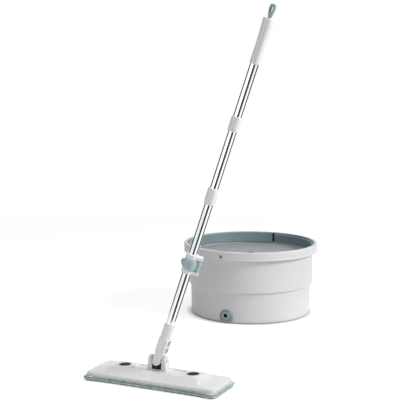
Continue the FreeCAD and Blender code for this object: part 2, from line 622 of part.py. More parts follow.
def make_head_plate():
    form = plate_form(0, PLATE_BOTTOM, 0, PLATFORM_TOP)
    hollow = plate_form(PLATE_WALL, PLATE_BOTTOM - 1, PLATE_WALL, CAVITY_ROOF)
    plate = form.cut(hollow)
    posts = []
    recesses = []
    for side in (-1, 1):
        x = side * DISC_SPACING / 2
        posts.append(rod(DISC_BOSS, PLATFORM_TOP - 3, PLATFORM_TOP + DISC_BOSS_RISE, x))
        posts.append(rod(DISC_RADIUS + 3, BASE_PLATE_TOP, PLATFORM_TOP - 1, x))
        recesses.append(rod(DISC_RADIUS + PRESS_CLEAR, DISC_SEAT, PLATFORM_TOP + 2, x))
        recesses.append(rod(SCREW_RADIUS + SEAT_CLEAR, 0, PLATFORM_TOP, x))
        recess = slab(SIDE_RECESS_LENGTH, SIDE_RECESS_WIDTH, SIDE_RECESS_CORNER,
                      PLATFORM_TOP - SIDE_RECESS_DEPTH, PLATFORM_TOP + 2)
        recess.translate(V(side * SIDE_RECESS_X, 0, 0))
        recesses.append(recess)
    for x in PLATE_RIBS:
        rib = block(x - PLATE_RIB_THICK / 2, x + PLATE_RIB_THICK / 2, -PLATE_WIDTH / 2, PLATE_WIDTH / 2,
                    BASE_PLATE_TOP, PLATFORM_TOP - 1)
        posts.append(rib.common(form))
    for x, y in BRACKET_SCREWS:
        posts.append(rod(SCREW_RADIUS + 3, BASE_PLATE_TOP, PLATFORM_TOP - 1, x, y))
        recesses.append(rod(SCREW_RADIUS + SEAT_CLEAR, 0, PLATFORM_TOP + 1, x, y))
        recesses.append(rod(2 * SCREW_RADIUS + SEAT_CLEAR, 0, BRACKET_SCREW_SEAT, x, y))
    plate = joined([plate] + posts)
    return on_head(plate.cut(recesses))


def make_base_plate():
    margin = PLATE_WALL + SEAT_CLEAR
    plate = slab(PLATE_LENGTH - 2 * margin, PLATE_WIDTH - 2 * margin, PLATE_CORNER - margin / 2,
                 PLATE_BOTTOM, BASE_PLATE_TOP)
    holes = []
    for side in (-1, 1):
        holes.append(rod(SCREW_RADIUS + PRESS_CLEAR, 0, PLATFORM_TOP, side * DISC_SPACING / 2))
    return on_head(plate.cut(holes))


def make_cover_discs():
    discs = []
    for side in (-1, 1):
        disc_top = PLATFORM_TOP + DISC_PROUD
        disc = rod(DISC_RADIUS, disc_top - DISC_THICK, disc_top, side * DISC_SPACING / 2)
        top = [e for e in disc.Edges if abs(e.BoundBox.ZMin - disc_top) < 0.01 and e.Length > DISC_RADIUS]
        discs.append(disc.makeFillet(0.8, top))
    return on_head(Part.makeCompound(discs))


def make_disc_screws():
    screws = []
    for side in (-1, 1):
        screw = pan_screw(DISC_SEAT - PLATE_BOTTOM)
        screw.translate(V(side * DISC_SPACING / 2, 0, DISC_SEAT))
        screws.append(screw)
    return on_head(Part.makeCompound(screws))


def make_pivot_bracket():
    top = PLATFORM_TOP + EAR_HEIGHT
    crown = EAR_DEPTH / 2
    front = prism_y([(-BRACKET_BASE / 2, PLATFORM_TOP), (BRACKET_BASE / 2, PLATFORM_TOP),
                     (BRACKET_TOP / 2, top), (-BRACKET_TOP / 2, top)], EAR_DEPTH)
    gap = prism_y([(-GAP_BASE / 2, PLATFORM_TOP + GAP_FLOOR), (GAP_BASE / 2, PLATFORM_TOP + GAP_FLOOR),
                   (GAP_TOP / 2, top), (GAP_TOP / 2, top + 1), (-GAP_TOP / 2, top + 1), (-GAP_TOP / 2, top)],
                  EAR_DEPTH + 2)
    side = block(-BRACKET_BASE, BRACKET_BASE, -crown, crown, PLATFORM_TOP, top - crown)
    side = side.fuse(rod_x(crown, -BRACKET_BASE, BRACKET_BASE, 0, top - crown))
    bracket = front.common(side).cut(gap)
    pin_hole = rod_x(KNUCKLE_PIN + PRESS_CLEAR, -BRACKET_BASE, BRACKET_BASE, 0, PIVOT_Z)
    pilots = [rod(SCREW_RADIUS + PRESS_CLEAR, PLATFORM_TOP - 1, PLATFORM_TOP + 11, x, y)
              for x, y in BRACKET_SCREWS]
    return on_head(bracket.cut([pin_hole] + pilots).removeSplitter())


def make_bracket_screws():
    screws = []
    for x, y in BRACKET_SCREWS:
        screw = pan_screw(BRACKET_SCREW_LENGTH, head_up=False)
        screw.translate(V(x, y, BRACKET_SCREW_SEAT))
        screws.append(screw)
    return on_head(Part.makeCompound(screws))


def make_knuckle_pin():
    half = (BRACKET_BASE + BRACKET_TOP) / 4 - 1.2
    pin = rod_x(KNUCKLE_PIN, -half, half, 0, PIVOT_Z)
    return on_head(pin)


def make_knuckle():
    half = KNUCKLE / 2
    body = block(-half, half, -half, half, PIVOT_Z - half, PIVOT_Z + half)
    body = body.makeFillet(KNUCKLE_ROUND, body.Edges)
    low_share = (PIVOT_RISE - KNUCKLE_BOSS_RADIUS - BODY_CLEAR - GAP_FLOOR) / (EAR_HEIGHT - GAP_FLOOR)
    boss_half = (GAP_BASE + (GAP_TOP - GAP_BASE) * low_share) / 2 - BODY_CLEAR
    bosses = rod_x(KNUCKLE_BOSS_RADIUS, -boss_half, boss_half, 0, PIVOT_Z)
    trunnions = rod_y(TRUNNION_RADIUS, -BLOCK_DEPTH / 2 + 0.5, BLOCK_DEPTH / 2 - 0.5, 0, PIVOT_Z)
    knuckle = joined([body, bosses, trunnions])
    return on_head(knuckle.cut(rod_x(KNUCKLE_PIN + RUN_CLEAR, -BRACKET_BASE, BRACKET_BASE, 0, PIVOT_Z)))


# ---------------------------------------------------------------- pole, drawn along Z

def rod_turn(height):
    """Turn of the twisted rod's section at a height, in degrees."""
    return 360.0 * (height - NUT_MIDDLE) / ROD_PITCH


def cross_pin(radius, half_length, height):
    """Pin square to the twisted rod's wide side at a height."""
    pin = rod_y(radius, -half_length, half_length, 0, height)
    pin.rotate(ORIGIN, Z_AXIS, rod_turn(height))
    return pin


def make_socket():
    fork_width = 2 * FORK_HALF
    plate = block(-FORK_HALF, FORK_HALF, -BLOCK_DEPTH / 2, BLOCK_DEPTH / 2, 0, BLOCK_START + 1)
    plate = plate.fuse(rod_y(FORK_HALF, -BLOCK_DEPTH / 2, BLOCK_DEPTH / 2))
    slot = KNUCKLE / 2 + BODY_CLEAR
    reach = (KNUCKLE / 2 - KNUCKLE_ROUND) * math.sqrt(2) + KNUCKLE_ROUND + FORK_ROOF_CLEAR
    plate = plate.cut(block(-fork_width, fork_width, -slot, slot, -fork_width, reach))
    body = slab(BLOCK_WIDTH, BLOCK_DEPTH, BLOCK_CORNER, BLOCK_START, BLOCK_END + 1)
    neck = turned([(0, BLOCK_END), (SOCKET_RADIUS, BLOCK_END), (SOCKET_RADIUS, SOCKET_END - SOCKET_TAPER),
                   (LOWER_TUBE_RADIUS + 0.9, SOCKET_END), (0, SOCKET_END)])
    socket = joined([plate, body, neck])
    bore = rod(TUBE_FIT, SOCKET_FLOOR, SOCKET_END + 1)
    rod_seat = rod(ROD_HOLE, ROD_START - 1, SOCKET_FLOOR + 1)
    trunnions = rod_y(TRUNNION_RADIUS + RUN_CLEAR, -BLOCK_DEPTH, BLOCK_DEPTH)
    pocket_height = (BLOCK_END - BLOCK_START - 3 * POCKET_RIM) / 2
    pockets = []
    for start in (BLOCK_START + POCKET_RIM, BLOCK_END - POCKET_RIM - pocket_height):
        pocket = slab(4 * POCKET_DEPTH, POCKET_WIDTH, POCKET_CORNER, start, start + pocket_height)
        pocket.translate(V(BLOCK_WIDTH / 2 + POCKET_DEPTH, 0, 0))
        pockets.append(pocket)
    pin_bore = cross_pin(ROD_PIN + PRESS_CLEAR, BLOCK_DEPTH, ROD_PIN_HEIGHT)
    return on_pole(socket.cut([bore, rod_seat, trunnions, pin_bore] + pockets))


def make_twist_rod():
    sections = []
    steps = math.ceil((ROD_TOP - ROD_START) / ROD_PITCH * ROD_STEPS)
    for index in range(steps + 1):
        height = ROD_START + (ROD_TOP - ROD_START) * index / steps
        corners = [V(across * ROD_WIDTH / 2, through * ROD_THICK / 2, height)
                   for across, through in ((-1, -1), (1, -1), (1, 1), (-1, 1))]
        outline = Part.makePolygon(corners + corners[:1])
        outline.rotate(V(0, 0, height), Z_AXIS, rod_turn(height))
        sections.append(outline)
    twisted = Part.makeLoft(sections, True, True)
    holes = [cross_pin(ROD_PIN + PRESS_CLEAR, ROD_WIDTH, ROD_PIN_HEIGHT),
             cross_pin(STOP_PIN + PRESS_CLEAR, ROD_WIDTH, LOWER_STOP + STOP_WASHER + STOP_PIN),
             cross_pin(STOP_PIN + PRESS_CLEAR, ROD_WIDTH, UPPER_STOP + STOP_WASHER + STOP_PIN)]
    return on_pole(twisted.cut(holes))


def make_rod_pin():
    return on_pole(cross_pin(ROD_PIN, BLOCK_WIDTH / 2 - 2, ROD_PIN_HEIGHT))


def make_thrust_washer():
    return on_pole(ring(TUBE_FIT - SEAT_CLEAR, ROD_HOLE, SOCKET_FLOOR, BUSH_FLANGE))


def make_rod_stops():
    pieces = []
    for height in (LOWER_STOP, UPPER_STOP):
        pieces.append(ring(UPPER_TUBE_INNER - 1.5, ROD_HOLE, height, height + STOP_WASHER))
        pieces.append(cross_pin(STOP_PIN, UPPER_TUBE_INNER - 2, height + STOP_WASHER + STOP_PIN))
    return on_pole(Part.makeCompound(pieces))


def make_lower_tube():
    return on_pole(ring(LOWER_TUBE_RADIUS, LOWER_TUBE_INNER, LOWER_TUBE_START, LOWER_TUBE_END))


def make_tube_bush():
    plug = rod(LOWER_TUBE_INNER - PRESS_CLEAR, LOWER_TUBE_START - 0.1, BUSH_END)
    flange = rod(LOWER_TUBE_RADIUS, BUSH_FLANGE, LOWER_TUBE_START)
    bush = joined([plug, flange])
    return on_pole(bush.cut(rod(ROD_HOLE, BUSH_FLANGE - 1, BUSH_END + 1)))


def make_clamp_collar():
    barrel = rod(CLAMP_RADIUS, CLAMP_START, CLAMP_END)
    reach = LEVER_PIVOT.x + LEVER_KNUCKLE + 1
    lug = block(0, reach, LUG_SIDES[0], LUG_SIDES[1], CLAMP_START + 2, CLAMP_END - 2)
    body = joined([barrel, lug])
    upright = [e for e in body.Edges if e.BoundBox.ZLength > 30 and e.BoundBox.XMin > reach - 1]
    body = body.makeFillet(LUG_ROUND, upright)
    low_bore = rod(LOWER_TUBE_RADIUS + PRESS_CLEAR, CLAMP_START - 1, LOWER_TUBE_END + 0.3)
    high_bore = rod(UPPER_TUBE_RADIUS + RUN_CLEAR, LOWER_TUBE_END, CLAMP_END + 1)
    slit = block(0, reach + 1, CLAMP_SLIT[0], CLAMP_SLIT[1], LOWER_TUBE_END + 2, CLAMP_END + 1)
    notch = block(0, reach + 1, LUG_SIDES[0] - 1, LEVER_PIVOT.y + LEVER_KNUCKLE + BODY_CLEAR,
                  CLAMP_MIDDLE - LEVER_GAP / 2, CLAMP_MIDDLE + LEVER_GAP / 2).cut(barrel)
    pin = rod(LEVER_PIN_RADIUS + PRESS_CLEAR, CLAMP_START + 3, CLAMP_END + 1, LEVER_PIVOT.x, LEVER_PIVOT.y)
    return on_pole(body.cut([low_bore, high_bore, slit, notch, pin]), CLAMP_TURN)


def make_lever_pin():
    pin = rod(LEVER_PIN_RADIUS, CLAMP_START + 3.5, CLAMP_END - 2, LEVER_PIVOT.x, LEVER_PIVOT.y)
    return on_pole(pin, CLAMP_TURN)


def make_clamp_lever():
    height = LEVER_GAP - 2 * BODY_CLEAR
    middle = CLAMP_MIDDLE
    low = middle - height / 2
    top = middle + height / 2
    inner = CLAMP_RADIUS + BODY_CLEAR
    outer = inner + LEVER_THICK
    blade = ring(outer, inner, low, top)
    blade.rotate(ORIGIN, Z_AXIS, 90)
    blade = blade.common(block(-outer - 1, CLAMP_RADIUS + 1, -outer - 1, 0, low, top))
    blade = blade.cut(block(0, outer + 1, LEVER_PIVOT.y, 1, low - 1, top + 1))
    arm_side = LEVER_PIVOT.y - LEVER_KNUCKLE - 1
    arm = block(CLAMP_RADIUS - 6, LEVER_PIVOT.x, arm_side, LEVER_PIVOT.y + 1, low, top)
    arm = arm.cut(rod(inner, low - 1, top + 1))
    knuckle = rod(LEVER_KNUCKLE, low, top, LEVER_PIVOT.x, LEVER_PIVOT.y)
    tip = block(-outer - LEVER_TIP, -inner, -LEVER_TIP_THICK, 0, low, top)
    lever = joined([blade, arm, knuckle, tip])
    far = -outer - LEVER_TIP - 1
    front = -2 * outer
    point = V(far, front, middle - 3)
    upper_end = V(CLAMP_RADIUS - 8, front, top)
    lower_end = V(CLAMP_RADIUS - 14, front, low)
    upper_bend = Part.Arc(upper_end, V(far + 8, front, top - 5), point).toShape()
    lower_bend = Part.Arc(point, V(far + 9, front, low + 2), lower_end).toShape()
    right = LEVER_PIVOT.x + LEVER_KNUCKLE + 1
    sides = Part.makePolygon([lower_end, V(right, front, low), V(right, front, top), upper_end])
    outline = Part.Wire([upper_bend, lower_bend] + sides.Edges)
    lever = lever.common(Part.Face(outline).extrude(V(0, 4 * outer, 0)))
    lever = lever.cut(rod(LEVER_PIN_RADIUS + RUN_CLEAR, low - 1, top + 1, LEVER_PIVOT.x, LEVER_PIVOT.y))
    return on_pole(lever, CLAMP_TURN)


def make_nut_housing():
    outer = UPPER_TUBE_INNER - PRESS_CLEAR
    shell = ring(outer, outer - NUT_SHELL, UPPER_TUBE_START, NUT_END)
    low_lip = ring(outer, ROD_HOLE, UPPER_TUBE_START, UPPER_TUBE_START + NUT_LIP)
    high_lip = ring(outer, ROD_HOLE, NUT_END - NUT_LIP, NUT_END)
    return on_pole(joined([shell, low_lip, high_lip]))


def make_drive_nut():
    play = NUT_LIP + NUT_END_PLAY
    nut = rod(nut_radius(), UPPER_TUBE_START + play, NUT_END - play)
    nut = nut.cut([rod(ROD_HOLE, NUT_MIDDLE + NUT_WEB / 2, NUT_END),
                   rod(ROD_HOLE, UPPER_TUBE_START, NUT_MIDDLE - NUT_WEB / 2)])
    slot = block(-ROD_WIDTH / 2 - NUT_CLEAR, ROD_WIDTH / 2 + NUT_CLEAR, -ROD_THICK / 2 - NUT_CLEAR,
                 ROD_THICK / 2 + NUT_CLEAR, UPPER_TUBE_START, NUT_END)
    return on_pole(nut.cut(slot))


def nut_radius():
    """Outside of the drive nut, leaving room for the rollers inside the housing."""
    return UPPER_TUBE_INNER - NUT_SHELL - 2 * ROLLER_RADIUS - 3 * PRESS_CLEAR


def make_clutch_rollers():
    play = NUT_LIP + NUT_END_PLAY + BODY_CLEAR
    ring_radius = nut_radius() + PRESS_CLEAR + ROLLER_RADIUS
    roller = rod(ROLLER_RADIUS, UPPER_TUBE_START + play, NUT_END - play, ring_radius)
    return on_pole(Part.makeCompound(around(roller, ROLLER_COUNT)))


def upper_tube(start, end):
    return on_pole(ring(UPPER_TUBE_RADIUS, UPPER_TUBE_INNER, start, end))


def connector(start, length, radius):
    """Sleeve over the ends of two tubes, with a stop web between them."""
    middle = start + length * 0.5
    sleeve = rod(radius, start, start + length)
    ends = [e for e in sleeve.Edges if e.BoundBox.ZLength < 0.1]
    sleeve = sleeve.makeFillet(1.2, ends)
    bores = [rod(UPPER_TUBE_RADIUS + PRESS_CLEAR, start - 1, middle - 0.5),
             rod(UPPER_TUBE_RADIUS + PRESS_CLEAR, middle + 0.5, start + length + 1),
             rod(UPPER_TUBE_INNER - 1.5, middle - 2, middle + 2)]
    return on_pole(sleeve.cut(bores))


def make_grip():
    length = GRIP_END - GRIP_START
    corners = [V(0, 0, GRIP_START), V(GRIP_RADIUS - 0.8, 0, GRIP_START)]
    side = Part.BSplineCurve()
    side.interpolate([V(GRIP_RADIUS - 0.8, 0, GRIP_START), V(GRIP_RADIUS, 0, GRIP_START + 4),
                      V(GRIP_RADIUS, 0, GRIP_START + 0.26 * length),
                      V(GRIP_WAIST, 0, GRIP_START + 0.70 * length),
                      V(GRIP_FLARE, 0, GRIP_START + 0.91 * length),
                      V(GRIP_FLARE - GRIP_ROUND, 0, GRIP_END)])
    top = [V(GRIP_FLARE - GRIP_ROUND, 0, GRIP_END), V(0, 0, GRIP_END), V(0, 0, GRIP_START)]
    outline = Part.Wire([Part.makePolygon(corners).Edges[0], side.toShape()] + Part.makePolygon(top).Edges)
    grip = Part.Face(outline).revolve(ORIGIN, Z_AXIS, 360)
    bore = rod(UPPER_TUBE_RADIUS + PRESS_CLEAR, GRIP_START - 1, UPPER_TUBE_END)
    stem = rod(HOOK_STEM + 0.2, UPPER_TUBE_END - 1, GRIP_END + 1)
    return on_pole(grip.cut([bore, stem]))


def make_end_plug():
    plug = rod(UPPER_TUBE_INNER - PRESS_CLEAR, UPPER_TUBE_END - 24, UPPER_TUBE_END - 0.2)
    stem_hole = rod(HOOK_STEM + 0.2, UPPER_TUBE_END - 8, UPPER_TUBE_END + 1)
    barb_room = rod(HOOK_BARB + 0.4, UPPER_TUBE_END - 21, UPPER_TUBE_END - 6)
    return on_pole(plug.cut([stem_hole, barb_room]))


def make_hook():
    half = HOOK_WIDTH / 2
    low = GRIP_END + SEAT_CLEAR
    wide = HOOK_END - half
    left = Part.Arc(V(-HOOK_FOOT, -HOOK_THICK / 2, low), V(-half * 0.84, -HOOK_THICK / 2, (low + wide) / 2),
                    V(-half, -HOOK_THICK / 2, wide)).toShape()
    crown = Part.Arc(V(-half, -HOOK_THICK / 2, wide), V(0, -HOOK_THICK / 2, HOOK_END),
                     V(half, -HOOK_THICK / 2, wide)).toShape()
    right = Part.Arc(V(half, -HOOK_THICK / 2, wide), V(half * 0.84, -HOOK_THICK / 2, (low + wide) / 2),
                     V(HOOK_FOOT, -HOOK_THICK / 2, low)).toShape()
    foot = Part.LineSegment(V(HOOK_FOOT, -HOOK_THICK / 2, low), V(-HOOK_FOOT, -HOOK_THICK / 2, low)).toShape()
    leaf = Part.Face(Part.Wire([left, crown, right, foot])).extrude(V(0, HOOK_THICK, 0))
    slot_top = HOOK_END - HOOK_CROWN
    slot_low = slot_top - HOOK_SLOT_LENGTH
    slot = block(-HOOK_SLOT / 2, HOOK_SLOT / 2, -HOOK_THICK, HOOK_THICK,
                 slot_low + HOOK_SLOT / 2, slot_top - HOOK_SLOT / 2)
    slot = slot.fuse([rod_y(HOOK_SLOT / 2, -HOOK_THICK, HOOK_THICK, 0, slot_low + HOOK_SLOT / 2),
                      rod_y(HOOK_SLOT / 2, -HOOK_THICK, HOOK_THICK, 0, slot_top - HOOK_SLOT / 2)])
    stem_end = UPPER_TUBE_END - STEM_LENGTH
    stem = rod(HOOK_STEM, stem_end, low + 1)
    barb = rod(HOOK_BARB, stem_end, stem_end + BARB_LENGTH)
    return on_pole(joined([leaf.cut(slot), stem, barb]))


NODES = {
    "bucket_shell": make_bucket_shell,
    "rim_liner": make_rim_liner,
    "bail_handle": make_bail_handle,
    "bail_pins": make_bail_pins,
    "centre_column": make_centre_column,
    "column_screws": make_column_screws,
    "spindle": make_spindle,
    "tray_sleeve": make_tray_sleeve,
    "tray_bearings": make_tray_bearings,
    "bearing_spacer": make_bearing_spacer,
    "tray_circlip": make_tray_circlip,
    "spin_tray": make_spin_tray,
    "hub_cap": make_hub_cap,
    "drain_collar": make_drain_collar,
    "drain_nut": make_drain_nut,
    "drain_plug": make_drain_plug,
    "drain_seal": make_drain_seal,
    "mop_pad": make_mop_pad,
    "hook_sheet": make_hook_sheet,
    "head_plate": make_head_plate,
    "base_plate": make_base_plate,
    "cover_discs": make_cover_discs,
    "disc_screws": make_disc_screws,
    "pivot_bracket": make_pivot_bracket,
    "bracket_screws": make_bracket_screws,
    "knuckle_pin": make_knuckle_pin,
    "knuckle": make_knuckle,
    "socket": make_socket,
    "twist_rod": make_twist_rod,
    "rod_pin": make_rod_pin,
    "thrust_washer": make_thrust_washer,
    "rod_stops": make_rod_stops,
    "lower_tube": make_lower_tube,
    "tube_bush": make_tube_bush,
    "clamp_collar": make_clamp_collar,
    "lever_pin": make_lever_pin,
    "clamp_lever": make_clamp_lever,
    "nut_housing": make_nut_housing,
    "drive_nut": make_drive_nut,
    "clutch_rollers": make_clutch_rollers,
    "upper_tube_1": lambda: upper_tube(UPPER_TUBE_START, CONNECTOR_1 + CONNECTOR_1_LENGTH / 2 - 0.5),
    "connector_1": lambda: connector(CONNECTOR_1, CONNECTOR_1_LENGTH, CONNECTOR_1_RADIUS),
    "upper_tube_2": lambda: upper_tube(CONNECTOR_1 + CONNECTOR_1_LENGTH / 2 + 0.5,
                                       CONNECTOR_2 + CONNECTOR_2_LENGTH / 2 - 0.5),
    "connector_2": lambda: connector(CONNECTOR_2, CONNECTOR_2_LENGTH, CONNECTOR_2_RADIUS),
    "upper_tube_3": lambda: upper_tube(CONNECTOR_2 + CONNECTOR_2_LENGTH / 2 + 0.5, UPPER_TUBE_END),
    "grip": make_grip,
    "end_plug": make_end_plug,
    "hook": make_hook,
}


def main():
    os.makedirs("parts", exist_ok=True)
    for name, make in NODES.items():
        shape = make()
        if not shape.isValid():
            print("not valid:", name)
        print(name, len(shape.Solids), round(shape.Volume / 1000, 2), "cm3")
        shape.exportStep(f"parts/{name}.step")


main()
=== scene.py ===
"""Looks of the spin mop and its bucket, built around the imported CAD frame. Metres, +Z up."""

import json
import math

import bmesh
import bpy
import numpy as np
from mathutils import Matrix, Vector


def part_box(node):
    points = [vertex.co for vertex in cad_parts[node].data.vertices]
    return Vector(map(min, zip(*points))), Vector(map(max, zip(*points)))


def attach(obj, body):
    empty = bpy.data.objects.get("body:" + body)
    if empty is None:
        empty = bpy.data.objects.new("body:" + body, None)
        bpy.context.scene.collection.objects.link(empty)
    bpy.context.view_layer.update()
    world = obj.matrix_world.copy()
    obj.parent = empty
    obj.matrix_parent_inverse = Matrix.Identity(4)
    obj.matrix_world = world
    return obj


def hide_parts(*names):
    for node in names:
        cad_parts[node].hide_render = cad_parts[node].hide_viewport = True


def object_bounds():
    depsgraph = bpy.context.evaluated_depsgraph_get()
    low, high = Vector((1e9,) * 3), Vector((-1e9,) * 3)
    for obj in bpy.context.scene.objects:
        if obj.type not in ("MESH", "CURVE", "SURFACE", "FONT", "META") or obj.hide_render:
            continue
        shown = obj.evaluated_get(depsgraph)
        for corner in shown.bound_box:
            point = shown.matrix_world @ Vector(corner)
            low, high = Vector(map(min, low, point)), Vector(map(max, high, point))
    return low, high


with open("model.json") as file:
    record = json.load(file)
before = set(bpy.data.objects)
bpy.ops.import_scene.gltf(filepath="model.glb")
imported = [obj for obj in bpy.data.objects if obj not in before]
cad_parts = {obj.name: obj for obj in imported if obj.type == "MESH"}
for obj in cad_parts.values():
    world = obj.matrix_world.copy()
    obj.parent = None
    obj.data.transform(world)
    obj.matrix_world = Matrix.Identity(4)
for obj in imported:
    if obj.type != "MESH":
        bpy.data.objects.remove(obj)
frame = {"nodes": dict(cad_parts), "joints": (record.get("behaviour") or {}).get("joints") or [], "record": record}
CAD_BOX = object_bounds()

MM = 0.001
NODES = frame["nodes"]
JOINTS = {joint["name"]: joint for joint in frame["joints"]}
SLOT_OF = {part["node"]: part["material_slot"] for part in frame["record"]["subparts"]}
BODIES = frame["record"]["behaviour"]["bodies"]
BODY_OF = {node: body for body, members in BODIES.items() for node in members}

SPIN = JOINTS["head_spin"]
PIVOT = Vector(SPIN["pos_m"])
LEAN = math.atan2(SPIN["axis"][0], SPIN["axis"][2])
POLE = Matrix.Translation(PIVOT) @ Matrix.Rotation(LEAN, 4, "Y")
POLE_LINE = Vector(POLE.col[2][:3])


# ---------------------------------------------------------------- camera, lights and floor

CAMERA_AT = Vector((1.198, -2.883, 0.749))
CAMERA_HEADING = 25.5       # degrees round from +Y, turned towards -X
CAMERA_DIP = 7.23           # degrees below the horizon
CAMERA_LENS = 90.0
CAMERA_SENSOR = 36.0
CAMERA_REACH = 200.0

WHITE = (1.0, 1.0, 1.0, 1.0)
AMBIENT = 0.268
FLOOR_HALF = 30.0
FLOOR_SHADE = 0.65          # of the floor that is looked at
FLOOR_BOUNCE = 0.75         # of the floor that lights the object from below
FLOOR_GLOW = 0.62
FADE = (1.3, 2.4)           # between these distances the floor turns to plain white
# the floor's painted contact shadow under the bucket's foot
CONTACT_INSET = 0.026       # from the rim in to the foot of the wall
CONTACT_START = 0.004
CONTACT_FADE = 0.022
CONTACT_GLOW = 0.02

# name; metres right, ahead and up of what it lights; size; power
LAMPS = (("key", 2.9, -1.1, 1.5, 1.6, 95), ("top", 0, 0, 3.0, 2.2, 34), ("fill", -0.9, -0.7, 0, 0.7, 2.4))
FILL_UP = 0.62              # how far up the pole the fill lamp points

# name; degrees round from the camera's heading; width
FLAGS = (("flag_left", 60, 3.5), ("flag_right", -48, 2.7))
FLAG_LOW, FLAG_HIGH, FLAG_AWAY = -1.5, 2.5, 3.2

# name; the band of the pole's half width that the card darkens
STREAKS = (("streak_middle", -0.12, 0.30), ("streak_edge", 0.70, 0.94))
STREAK_HEIGHTS = np.linspace(0.12, 1.0, 12)
STREAK_LIFT = 0.001
CARD_BLACK = (0.012, 0.012, 0.014, 1.0)


def linear(*srgb):
    """Colour from 0-255 display values to the renderer's linear values."""
    return tuple((value / 255) ** 2.2 for value in srgb) + (1.0,)


def make_camera():
    data = bpy.data.cameras.new("camera")
    data.lens = CAMERA_LENS
    data.sensor_width = CAMERA_SENSOR
    data.clip_end = CAMERA_REACH
    camera = bpy.data.objects.new("camera", data)
    camera.location = CAMERA_AT
    camera.rotation_euler = (math.radians(90 - CAMERA_DIP), 0, math.radians(CAMERA_HEADING))
    bpy.context.scene.collection.objects.link(camera)
    bpy.context.scene.camera = camera


def aim(thing, target):
    thing.rotation_euler = (Vector(target) - thing.location).to_track_quat("-Z", "Y").to_euler()


def make_lamp(name, place, target, size, power):
    data = bpy.data.lights.new(name, "AREA")
    data.shape = "DISK"
    data.size = size
    data.energy = power
    lamp = bpy.data.objects.new(name, data)
    lamp.location = place
    aim(lamp, target)
    bpy.context.scene.collection.objects.link(lamp)
    return lamp


def plain_object(name, points, faces):
    mesh = bpy.data.meshes.new(name)
    mesh.from_pydata(points, [], faces)
    made = bpy.data.objects.new(name, mesh)
    bpy.context.scene.collection.objects.link(made)
    return made


def make_world():
    """Even soft light for the object, and plain white where the camera, gloss or glass sees past it."""
    world = bpy.data.worlds.new("studio")
    world.use_nodes = True
    bpy.context.scene.world = world
    tree = world.node_tree
    tree.nodes.clear()
    ambient = add_node(tree, "ShaderNodeBackground", WHITE, AMBIENT).outputs[0]
    seen = add_node(tree, "ShaderNodeBackground", WHITE, 1.0).outputs[0]
    add_node(tree, "ShaderNodeOutputWorld", mixed(tree, seen_directly(tree), ambient, seen))


def mixed(tree, factor, first, second):
    """The first shader where the factor is 0, and the second where it is 1."""
    return add_node(tree, "ShaderNodeMixShader", factor, first, second).outputs[0]


def seen_directly(tree):
    """1 for camera, glossy and transmission rays, and 0 for the rest."""
    rays = add_node(tree, "ShaderNodeLightPath").outputs
    either = total(tree, rays["Is Camera Ray"], rays["Is Glossy Ray"], "MAXIMUM")
    return total(tree, either, rays["Is Transmission Ray"], "MAXIMUM")


def from_bucket(tree):
    """Distance from the middle of the bucket's foot."""
    place = add_node(tree, "ShaderNodeNewGeometry").outputs["Position"]
    return add_node(tree, "ShaderNodeVectorMath", place, operation="LENGTH").outputs["Value"]


def contact_shadow_glow(tree):
    """Glow that dies away close under the bucket: a painted contact shadow on the floor."""
    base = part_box("bucket_shell")[1][0] - CONTACT_INSET
    edges = base - CONTACT_START, base + CONTACT_FADE
    return spread(tree, from_bucket(tree), *edges, CONTACT_GLOW, FLOOR_GLOW)


def make_floor():
    """White floor: it glows a little to what looks at it, so that it reads as white and keeps the shadows."""
    corners = [(x * FLOOR_HALF, y * FLOOR_HALF, 0) for x, y in ((-1, -1), (1, -1), (1, 1), (-1, 1))]
    floor = plain_object("floor", corners, [(0, 1, 2, 3)])
    made = bpy.data.materials.new("floor")
    made.use_nodes = True
    tree = made.node_tree
    tree.nodes.clear()
    plain = add_node(tree, "ShaderNodeBsdfDiffuse", shaded(WHITE, FLOOR_BOUNCE)).outputs[0]
    catcher = add_node(tree, "ShaderNodeBsdfDiffuse", shaded(WHITE, FLOOR_SHADE)).outputs[0]
    # its glow dies away under the bucket, as a painted contact shadow
    glow = add_node(tree, "ShaderNodeEmission", WHITE, contact_shadow_glow(tree)).outputs[0]
    both = add_node(tree, "ShaderNodeAddShader", glow, catcher).outputs[0]
    near = mixed(tree, seen_directly(tree), plain, both)
    white = add_node(tree, "ShaderNodeEmission", WHITE, 1.0).outputs[0]
    far = spread(tree, from_bucket(tree), *FADE, 0.0, 1.0)
    beyond = total(tree, far, seen_directly(tree), "MULTIPLY")
    add_node(tree, "ShaderNodeOutputMaterial", mixed(tree, beyond, near, white))
    floor.data.materials.append(made)


def make_studio():
    make_camera()
    make_world()
    make_floor()
    middle = (CAD_BOX[0] + CAD_BOX[1]) / 2
    heading = math.radians(CAMERA_HEADING)
    right = Vector((math.cos(heading), math.sin(heading), 0))
    ahead = Vector((-right.y, right.x, 0))
    for name, aside, onward, up, size, power in LAMPS:
        target = PIVOT + POLE_LINE * FILL_UP if name == "fill" else middle
        make_lamp(name, target + right * aside + ahead * onward + Vector((0, 0, up)), target, size, power)
    for name, turn, width in FLAGS:
        make_flag(name, middle, turn, width)
    for name, near, far in STREAKS:
        make_streak(name, near, far)


def dark_card(name, points, faces):
    """Dark card that only gloss sees: it draws a dark streak on the polished tubes."""
    card = plain_object(name, points, faces)
    card.visible_camera = False
    card.visible_diffuse = False
    card.visible_shadow = False
    card.visible_transmission = False
    card.data.materials.append(new_material(name, Base_Color=CARD_BLACK, Roughness=0.9)[0])
    return card


def make_flag(name, middle, turn, width):
    """Upright card beside the object."""
    corners = [(x, 0, z) for x, z in ((-1, FLAG_LOW), (1, FLAG_LOW), (1, FLAG_HIGH), (-1, FLAG_HIGH))]
    card = dark_card(name, [(x * width / 2, y, z) for x, y, z in corners], [(0, 1, 2, 3)])
    bearing = math.radians(CAMERA_HEADING + turn)
    card.location = middle + Vector((-math.sin(bearing), math.cos(bearing), 0)) * FLAG_AWAY
    card.rotation_euler = (0, 0, bearing)


